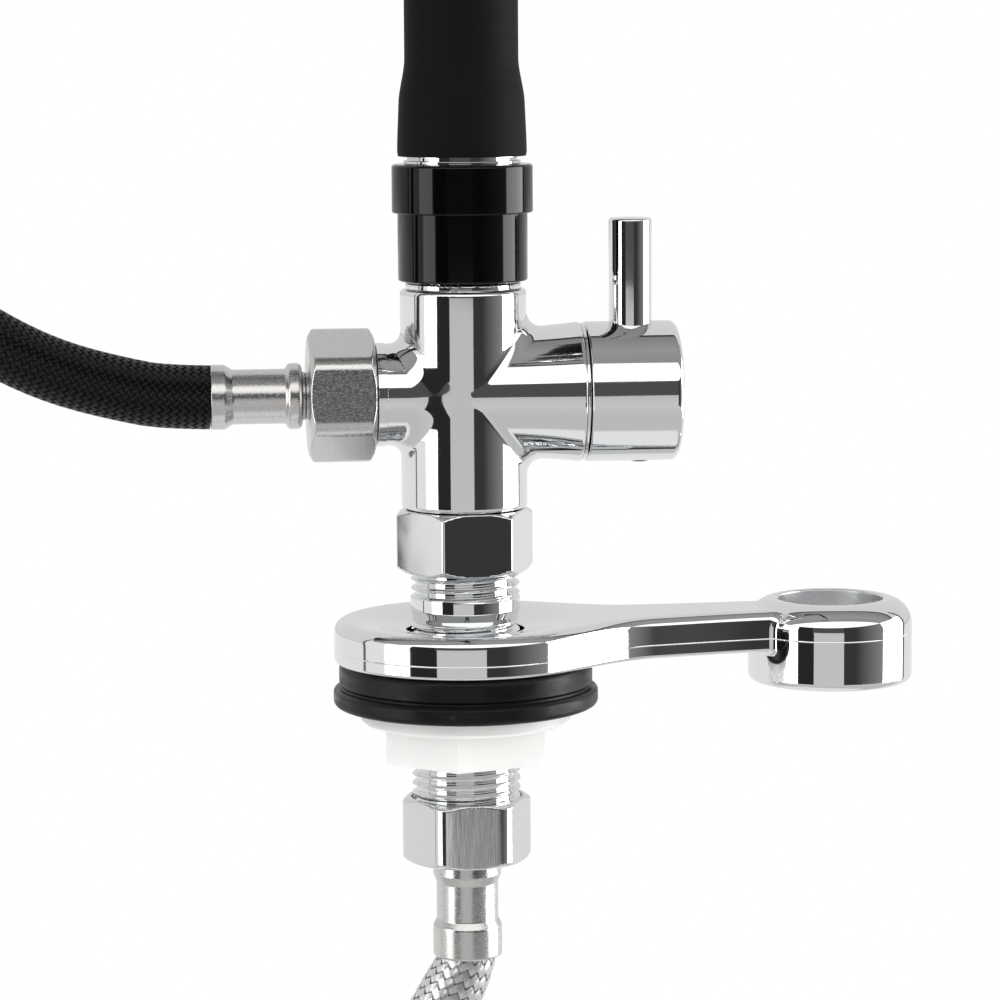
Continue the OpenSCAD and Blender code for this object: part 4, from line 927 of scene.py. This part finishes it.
SUPPLY_RUN = [
    (0, 0, -48.0), (0, 0, -49.6), (-0.8, 0, -52), (-2.2, 0, -55), (-4.1, 0, -58.5), (-7.2, 0, -63.8),
    (-11.8, 0, -71.5), (-18.2, 0, -83), (-25.4, 0, -98), (-31.8, 0, -115), (-36.8, 0, -134),
    (-40.4, 0, -156), (-42.3, 0, -180), (-43, 0, -206), (-43, 0, -236), (-43, 0, -266), (-43, 0, -296),
]


def distances(route):
    """Distance along a route at each of its points."""
    reach = [0.0]
    for a, b in zip(route, route[1:]):
        reach.append(reach[-1] + (b - a).length)
    return reach


def smooth_route(points, step_mm):
    """Evenly spaced points in metres on a smooth curve through a route in millimetres."""
    route = [Vector(p) * MM for p in points]
    route = [2 * route[0] - route[1]] + route + [2 * route[-1] - route[-2]]
    dense = []
    for before, start, end, after in zip(route, route[1:], route[2:], route[3:]):
        for i in range(16):
            t = i / 16
            dense.append(
                0.5 * ((2 * start) + (end - before) * t + (2 * before - 5 * start + 4 * end - after) * t**2
                       + (3 * start - before - 3 * end + after) * t**3)
            )
    dense.append(route[-2])
    reach = distances(dense)
    count = max(2, round(reach[-1] / (step_mm * MM)))
    even = np.linspace(0, reach[-1], count + 1)
    columns = [np.interp(even, reach, [p[k] for p in dense]) for k in range(3)]
    return [Vector(p) for p in zip(*columns)], reach[-1]


def uprights(route, side):
    """At each point of a flat route, the direction across it in its plane; side is the plane's normal."""
    found = []
    for i in range(len(route)):
        heading = (route[min(i + 1, len(route) - 1)] - route[max(i - 1, 0)]).normalized()
        found.append(heading.cross(side).normalized())
    return found


def hose_tube(name, route, side, radius_at, sides=32):
    """A closed round tube along a route, its radius by the distance along it, with UV turns and metres."""
    side, reach = Vector(side).normalized(), distances(route)
    angles = [2 * math.pi * k / sides for k in range(sides)]
    points, faces, corners = [], [], []
    for centre, up, travel in zip(route, uprights(route, side), reach):
        radius = radius_at(travel)
        points += [centre + radius * (math.cos(angle) * side + math.sin(angle) * up) for angle in angles]
    for i, (start, end) in enumerate(zip(reach, reach[1:])):
        for k in range(sides):
            a, b = i * sides + k, i * sides + (k + 1) % sides
            faces.append((a, a + sides, b + sides, b))
            low, high = k / sides, (k + 1) / sides
            corners += [(low, start), (low, end), (high, end), (high, start)]
    last = len(points) - sides
    faces += [tuple(range(sides)), tuple(range(last + sides - 1, last - 1, -1))]
    corners += [(0, 0)] * sides + [(0, reach[-1])] * sides
    return shaded(mesh_piece(name, points, faces, corners), 50)


RIBBON_CROWN = 0.06 * MM


def ribbon_braid(name, route, side, radius_at, settings):
    """Flat steel ribbons that pass over and under each other all round a hose."""
    side = Vector(side).normalized()
    ups, reach = uprights(route, side), distances(route)
    total = reach[-1]
    lay = 2 * math.pi * settings.radius
    count = settings.ribbons
    half = settings.ribbon_width / 2
    crossing = lay / count / 2
    steps = round(total / crossing * 2)
    points, faces, corners = [], [], []

    def place(distance, angle, height):
        i = min(max(np.searchsorted(reach, distance) - 1, 0), len(route) - 2)
        t = (distance - reach[i]) / (reach[i + 1] - reach[i])
        out = math.cos(angle) * side + math.sin(angle) * ups[i].lerp(ups[i + 1], t)
        return route[i].lerp(route[i + 1], t) + (radius_at(distance) + height) * out

    for way in (1, -1):
        for ribbon in range(count):
            first = len(points)
            for step in range(steps + 1):
                distance = total * step / steps
                turn = way * 2 * math.pi * distance / lay + 2 * math.pi * ribbon / count
                wave = math.cos(math.pi * (distance / crossing + (0.5 if way < 0 else -0.5)))
                rise = settings.ribbon_rise * (wave if way > 0 else -wave) * 0.5
                for across in (-1, 0, 1):
                    slide = across * half / math.sqrt(2)
                    where = min(max(distance - slide, 0.0), total)
                    spread = way * slide / settings.radius
                    crown = 0.0 if across else RIBBON_CROWN
                    points.append(place(where, turn + spread, rise + crown))
            for step in range(steps):
                for strip in range(2):
                    a = first + step * 3 + strip
                    quad = (a, a + 1, a + 4, a + 3)
                    faces.append(quad if way > 0 else quad[::-1])
                    low, high = strip / 2, (strip + 1) / 2
                    uv = [(low, step), (high, step), (high, step + 1), (low, step + 1)]
                    corners += uv if way > 0 else uv[::-1]
    piece = mesh_piece(name, points, faces, corners)
    take(piece)
    bpy.ops.object.shade_smooth()
    return piece


class FAUCET_OT_SprayHose(bpy.types.Operator):
    """Black plaited spray hose in two stretches, joined in the arm's clip"""

    bl_idname = "faucet.spray_hose"
    bl_label = "Spray hose"

    def execute(self, context):
        hoses = context.scene.faucet_hoses

        def stretch(node, route, side):
            tube = hose_tube(node + "_plait", route, side, lambda travel: hoses.radius)
            return dress(tube, node, ride=False)

        route, length = smooth_route(LOWER_RUN, 3.0)
        lower = stretch("spray_hose_lower", route, (0, 1, 0))
        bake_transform(lower)
        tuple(route[0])
        [tuple(p) for p in route]
        route, length = smooth_route(UPPER_RUN, 3.0)
        upper = stretch("spray_hose_upper", route, (175, 21, 0))
        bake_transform(upper)
        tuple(route[0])
        [tuple(p) for p in route]
        return {"FINISHED"}


class FAUCET_OT_SupplyHose(bpy.types.Operator):
    """Steel-braided supply hose with its lower fittings"""

    bl_idname = "faucet.supply_hose"
    bl_label = "Supply hose"

    def execute(self, context):
        hoses = context.scene.faucet_hoses
        route, length = smooth_route(SUPPLY_RUN, 2.0)
        core_radius = hoses.radius - hoses.ribbon_rise - 0.1 * MM
        outside = hoses.radius - hoses.ribbon_rise / 2
        side = (0, 1, 0)

        def tucked(travel):
            """How far the hose is pinched where it enters the ferrule."""
            return 0.6 * MM * float(1 - step_up(travel, 0.001, 0.010))

        tube = hose_tube("supply_hose_core", route, side, lambda t: core_radius - tucked(t))
        core = dress(tube, "supply_hose")
        # Dark gaps between the ribbons: the rubber hose underneath
        core.data.materials[0] = grained("hose_core", "232324", 0.0, 0.7, 0.4, 2.0, 0.02)
        braid = ribbon_braid("supply_hose_braid", route, side, lambda t: outside - tucked(t), hoses)
        ribbons = paint(braid, "supply_hose")
        fitting = ("supply_end_ferrule", "supply_end_insert", "supply_end_washer", "supply_end_nut")
        pieces = [copy_of(node) for node in fitting]
        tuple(route[0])
        [tuple(p) for p in route]
        return {"FINISHED"}


# Where the nuts' open faces sit, in mm
HOSE_NUT_SEAT = (-17.2, 0, 60)
SPRAY_NUT_SEAT = (0, -175, 484.2)
SUPPLY_NUT_SEAT = (0, 0, -18)


THREAD_ROW = 0.12  # mm between two rows of a thread's points


def helical_thread(name, radius_at, low, high, pitch, sides=96):
    """A threaded rod along Z: radius_at(height, phase) gives its radius, where phase turns once per pitch."""
    rows = round((high - low) / THREAD_ROW)
    points, faces = [], []
    for i in range(rows + 1):
        height = low + (high - low) * i / rows
        for k in range(sides):
            angle = 2 * math.pi * k / sides
            radius = radius_at(height, (height / pitch - k / sides) % 1)
            points.append((radius * math.cos(angle) * MM, radius * math.sin(angle) * MM, height * MM))
    for i in range(rows):
        for k in range(sides):
            a, b = i * sides + k, i * sides + (k + 1) % sides
            faces.append((a, b, b + sides, a + sides))
    faces.append(tuple(range(sides - 1, -1, -1)))
    faces.append(tuple(range(rows * sides, (rows + 1) * sides)))
    return shaded(mesh_piece(name, points, faces), 60)


# Ends of the upright tube, and radius and top of the neck and of the arm's post, which start inside it, in mm
TUBE_LOW, TUBE_HIGH = 38.1, 80.1
NECK, POST, NECK_LOW = (11, 81.3), (8, 95.8), 70
# Where along the right port its flare ends
FLARE_REACH = 21.9
# Middle, half height and width across flats of the shank's hexagon, its turn in degrees, and its corners' cone
HEX_MIDDLE, HEX_HALF, HEX_FLATS, HEX_TURN = 31.95, 6.05, 23.3, 36.7
HEX_CONE = (13.1, 1.5, 0.8)
# Thread from end to end, its radius, and the plain band in it
THREAD_LOW, THREAD_HIGH, THREAD_R = -25.4, 26.2, 10.48
BAND_LOW, BAND_HIGH, BAND_R = 15.9, 21.4, 10.55


class FAUCET_OT_Body(bpy.types.Operator):
    """Cross body, shank, knob and lever pin"""

    bl_idname = "faucet.body"
    bl_label = "Valve body"

    def execute(self, context):
        size = context.scene.faucet_body

        def cross(points):
            p = points - np.array([0, 0, size.centre_z])
            tube = rod(points, size.tube_r, TUBE_LOW, TUBE_HIGH, 0.9)
            flare = size.right_r + (size.rim_r - size.right_r) * np.clip(p[:, 0] / FLARE_REACH, 0, 1) ** 2
            right = rod(p, flare, 0, size.right_end, 0.4, axis=0)
            left = rod(p, size.left_r, -size.left_end, 0, 0.25, axis=0)
            from_tube, from_ports = np.hypot(p[:, 0], p[:, 1]), np.hypot(p[:, 1], p[:, 2])
            facing = p[:, 1] ** 2 / np.maximum(from_tube * from_ports, 1)
            ports = fillet(rolled(tube, right, size.port_fillet, facing), left, size.left_fillet)
            neck, post = (rod(points, radius, NECK_LOW, high, 0.3) for radius, high in (NECK, POST))
            return np.minimum(ports, np.minimum(neck, post))

        collar_place = (-15.15, 0, size.centre_z)
        band("left_port_collar", "cross_body", (9.2, 9.84, 1.75), (0.08, 0.12), "-X", collar_place)
        dress(cast("cross_body_finish", cross, (-19, -15, 36), (24, 15, 97), 0.42), "cross_body")

        def shank_hex(points):
            return turned_hexagon(points, HEX_MIDDLE, HEX_HALF, HEX_FLATS, HEX_TURN, 0.7, 0.25, HEX_CONE)

        dress(cast("shank_hex_finish", shank_hex, (-14, -14, 25), (14, 14, 39), 0.33), "inlet_shank")

        def thread_radius(height, phase):
            """Half-inch thread with rounded crests, and a plain band whose lower part is narrower."""
            wave = 0.5 - 0.5 * math.cos(2 * math.pi * phase)
            cut = size.thread_depth * wave**0.8
            inside = min(max((height - BAND_LOW) / 0.5, 0), 1) * min(max((BAND_HIGH - height) / 0.5, 0), 1)
            plain = BAND_R - 0.4 * max(0.0, min(1.0, (18.6 - height) / 1.4))
            return (THREAD_R - cut) * (1 - inside) + plain * inside

        thread = helical_thread("shank_thread", thread_radius, THREAD_LOW, THREAD_HIGH, size.pitch)
        paint(thread, "inlet_shank")
        knob_place, bezel_place = (23.2, 0, size.centre_z), (22.32, 0, size.centre_z)
        spun("knob", [(0, 0), (13.4, 0, 0.35), (13.4, 17.6, 1.4), (0, 17.6)], "+X", knob_place)
        spun("lever_pin", [(0, 0), (4.1, 0, 0.3), (4.1, 27.5, 0.6), (0, 27.5)], "+Z", (32.1, 0, 65.65))
        band("knob_bezel", "cartridge_nut", (10, 13.15, 0.62), (0.2, 0.2), "+X", bezel_place, "chrome")
        return {"FINISHED"}


SHANK_HOLE_R = 11.3


class FAUCET_OT_Plate(bpy.types.Operator):
    """Base plate with its dished top, arm and spray rest"""

    bl_idname = "faucet.plate"
    bl_label = "Base plate"

    def execute(self, context):
        size = context.scene.faucet_plate
        cos, sin = math.cos(size.turn), math.sin(size.turn)
        turn = np.array([[cos, -sin], [sin, cos]])

        def plate(points):
            p = points.copy()
            p[:, :2] = points[:, :2] @ turn
            radius = np.hypot(p[:, 0], p[:, 1])
            half = size.half_root + (size.half_tip - size.half_root) * step_up(p[:, 0], 20, 58)
            strip = np.maximum(np.abs(p[:, 1]) - half, -p[:, 0])
            strip = np.maximum(strip, p[:, 0] - size.reach + size.rest_bore + 2)
            outline = fillet(radius - size.disc_r, strip, size.root_fillet)
            top = size.top - size.dish * step_up(radius, size.disc_r - 2.4, 8)
            slab = round_edge(round_edge(outline, p[:, 2] - top, size.edge), size.bottom - p[:, 2], 0.7)
            across = np.hypot(p[:, 0] - size.reach, p[:, 1])
            ring = round_edge(across - size.rest_r, p[:, 2] - size.rest_high, 5)
            ring = round_edge(ring, size.rest_low - p[:, 2], 1.5)
            both = round_edge(fillet(slab, ring, 0.9), SHANK_HOLE_R - radius, 0.4)
            return round_edge(both, size.rest_bore - across, 0.4)

        piece = dress(cast("base_plate_finish", plate, (-27, -27, 0.3), (93, 30, 18.5), 0.42), "base_plate")
        hook = (size.reach * cos, size.reach * sin)
        piece.data.materials[0] = cast_chrome(size.parting, hook, size.rest_bore)
        return {"FINISHED"}


NUT_HEIGHT = 12.6
NUT_CONE = (12.7, 1.7, 0.9)
NUT_CELL = 0.34


def union_nut(name, bore, bore_depth, hole, flats, corner):
    """Hexagon union nut from its open face at 0 upwards, its corners rounded and turned off at both ends."""
    half = NUT_HEIGHT / 2

    def field(points):
        body = turned_hexagon(points, half, half, flats, 0, corner, 0.2, NUT_CONE)
        radius = np.hypot(points[:, 0], points[:, 1])
        body = round_edge(body, -np.maximum(radius - bore, points[:, 2] - bore_depth), 0.2)
        return round_edge(body, hole - radius, 0.2)

    return cast(name, field, (-14, -14, -1), (14, 14, 14), NUT_CELL)


def screw_on(nut, node, seat, axis, degrees):
    """Turn a nut about its axis and put it on its seat."""
    turn = Matrix.Rotation(math.radians(degrees), 4, "Z")
    nut.data.transform(Matrix.Translation(Vector(seat) * MM) @ AXIS_TURN[axis] @ turn)
    return dress(nut, node)


# Radius, distance from the nut's open face and corner radius, in mm
HOSE_NECK = [
    (4.1, 12.4), (4.5, 12.4, 0.1), (4.5, 13.0, 0.15), (4.3, 13.1), (4.6, 13.2, 0.15), (4.6, 13.68, 0.1),
    (4.1, 13.68), (4.1, 12.4),
]
HOSE_FERRULE = [
    (4.0, 13.7), (6.3, 13.7, 1.25), (6.25, 16.3, 0.8), (5.2, 16.9, 0.5), (5.2, 26.9, 0.9), (6.15, 28.4, 0.9),
    (6.15, 31.1, 0.35), (4.0, 31.1), (4.0, 13.7),
]
SUPPLY_FERRULE = [
    (5.5, 13.0), (6.5, 13.0, 0.35), (6.6, 15.4, 1.1), (5.98, 17.0, 0.8), (5.98, 24.2, 0.7), (6.7, 25.6, 1.2),
    (6.7, 31.6, 0.5), (5.5, 31.6), (5.5, 13.0),
]
# Radius, height above the deck and corner radius, in mm
DECK_SEAL = [
    (11.3, 0.5), (20.9, 0.5), (20.9, 0), (25.5, 0, 1.1), (25.5, 3.0, 0.8), (24.8, 3.5, 0.2), (24.0, 3.5, 0.2),
    (24.0, 4.0, 0.2), (24.4, 4.4, 0.35), (24.4, 8.6, 1.5), (11.3, 8.6), (11.3, 0.5),
]


class FAUCET_OT_Nuts(bpy.types.Operator):
    """Union nuts, ferrules and inserts' necks of the hose ends, and the rubber seal"""

    bl_idname = "faucet.nuts"
    bl_label = "Nuts"

    def execute(self, context):
        small = union_nut("hose_nut_finish", 8.35, 11.7, 4.05, 22.9, 3.4)
        spray = linked("spray_nut_finish", small.data.copy())
        large = union_nut("supply_nut_finish", 10.6, 7.4, 5.7, 22.6, 3.6)
        screw_on(small, "hose_nut", HOSE_NUT_SEAT, "-X", 33.9)
        screw_on(spray, "spray_nut", SPRAY_NUT_SEAT, "+Z", 50)
        screw_on(large, "supply_nut", SUPPLY_NUT_SEAT, "-Z", 26.6)
        spun("deck_seal", DECK_SEAL)
        paint(turned("hose_neck", HOSE_NECK, "-X", HOSE_NUT_SEAT), "hose_insert", "steel")
        paint(turned("spray_neck", HOSE_NECK, "+Z", SPRAY_NUT_SEAT), "spray_insert", "steel")
        spun("hose_ferrule", HOSE_FERRULE, "-X", HOSE_NUT_SEAT)
        spun("spray_ferrule", HOSE_FERRULE, "+Z", SPRAY_NUT_SEAT)
        spun("supply_ferrule", SUPPLY_FERRULE, "-Z", SUPPLY_NUT_SEAT)
        return {"FINISHED"}


class FAUCET_OT_Sleeve(bpy.types.Operator):
    """Swivel sleeve and the flange of the arm's ferrule"""

    bl_idname = "faucet.sleeve"
    bl_label = "Sleeve"

    def execute(self, context):
        spun("swivel_sleeve", [
            (8.2, 0), (12.35, 0, 0.4), (12.35, 12.9, 0.1), (13.4, 12.9, 0.3), (13.4, 22.1, 0.6), (10.6, 22.1),
            (10.6, 18.5), (8.2, 18.5), (8.2, 0),
        ], "+Z", (0, 0, 81.6))
        band("arm_ferrule_flange", "arm_ferrule", (10.2, 11.1, 0.7), (0.15, 0.2), "+Z", (0, 0, 103.75))
        return {"FINISHED"}


class FAUCET_OT_ArmCover(bpy.types.Operator):
    """Rubber cover drawn over the gooseneck, swollen where it is pushed over each end's ferrule"""

    bl_idname = "faucet.arm_cover"
    bl_label = "Arm cover"

    def execute(self, context):
        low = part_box("arm_cover")[0]
        bend, top, start, end = 0.075, 0.475, low[2] + 0.0001, -low[1]
        sleeve, fine = 0.03, 0.0008  # length of the swollen ends and step of the route there
        route = [Vector((0, 0, z)) for z in np.arange(start, start + sleeve, fine)]
        route += [Vector((0, 0, z)) for z in np.linspace(start + sleeve, top - bend, 40)]
        turns = np.linspace(0, math.pi / 2, 41)[1:]
        route += [Vector((0, -bend * (1 - math.cos(a)), top - bend + bend * math.sin(a))) for a in turns]
        route += [Vector((0, -y, top)) for y in np.linspace(bend, end - sleeve, 12)[1:]]
        route += [Vector((0, -y, top)) for y in np.arange(end - 0.029, end, fine)]
        total = distances(route)[-1]

        def radius(travel):
            near = min(travel, total - travel) / MM
            lip = 0.15 * (1 - min(near / 0.5, 1)) ** 2
            swell = 1.12 * (1 - step_up(near, 10, 18.5)) + 0.4 * (1 - step_up(near, 0, 13))
            return (10.78 + float(swell) - lip) * MM

        dress(hose_tube("arm_cover_finish", route, (1, 0, 0), radius, 96), "arm_cover")
        return {"FINISHED"}


class FAUCET_OT_PlainPieces(bpy.types.Operator):
    """Every piece whose CAD shape is right: smooth copies with their finishes"""

    bl_idname = "faucet.plain_pieces"
    bl_label = "Plain pieces"

    def execute(self, context):
        for node in NODE_BODY:
            if node not in HAND_MADE:
                copy_of(node)
        spring = bpy.data.objects["trigger_spring_finish"]
        back, front = (pick(v.co.y for v in spring.data.vertices) for pick in (max, min))
        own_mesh(spring)
        return {"FINISHED"}


HAND_MADE = {
    "cross_body", "inlet_shank", "knob", "lever_pin", "base_plate", "hose_nut", "spray_nut", "supply_nut",
    "swivel_sleeve", "hose_ferrule", "spray_ferrule", "supply_ferrule", "arm_cover", "deck_seal",
    "spray_hose_lower", "spray_hose_upper", "supply_hose", "supply_end_ferrule", "supply_end_insert",
    "supply_end_washer", "supply_end_nut",
}


# ---------------- panel and registration


class FAUCET_PT_Panel(bpy.types.Panel):
    """Lists the faucet's operators in the 3D view's sidebar"""

    bl_idname = "FAUCET_PT_panel"
    bl_label = "Pre Rinse Faucet"
    bl_space_type = "VIEW_3D"
    bl_region_type = "UI"
    bl_category = "Faucet"

    def draw(self, context):
        for operator in OPERATORS:
            self.layout.operator(operator.bl_idname)


SETTINGS = {
    "faucet_camera": FAUCET_PG_Camera,
    "faucet_studio": FAUCET_PG_Studio,
    "faucet_hoses": FAUCET_PG_Hoses,
    "faucet_body": FAUCET_PG_Body,
    "faucet_plate": FAUCET_PG_Plate,
}
OPERATORS = [
    FAUCET_OT_Stage, FAUCET_OT_Body, FAUCET_OT_Plate, FAUCET_OT_Nuts, FAUCET_OT_Sleeve, FAUCET_OT_ArmCover,
    FAUCET_OT_SprayHose, FAUCET_OT_SupplyHose, FAUCET_OT_PlainPieces,
]


def register():
    for group in SETTINGS.values():
        bpy.utils.register_class(group)
    for name, group in SETTINGS.items():
        setattr(bpy.types.Scene, name, bpy.props.PointerProperty(type=group))
    for operator in OPERATORS:
        bpy.utils.register_class(operator)
    bpy.utils.register_class(FAUCET_PT_Panel)


def unregister():
    bpy.utils.unregister_class(FAUCET_PT_Panel)
    for operator in reversed(OPERATORS):
        bpy.utils.unregister_class(operator)
    for name in SETTINGS:
        delattr(bpy.types.Scene, name)
    for group in SETTINGS.values():
        bpy.utils.unregister_class(group)


def main():
    register()
    for operator in OPERATORS:
        group, action = operator.bl_idname.split(".")
        getattr(getattr(bpy.ops, group), action)()


if __name__ == "__main__":
    main()
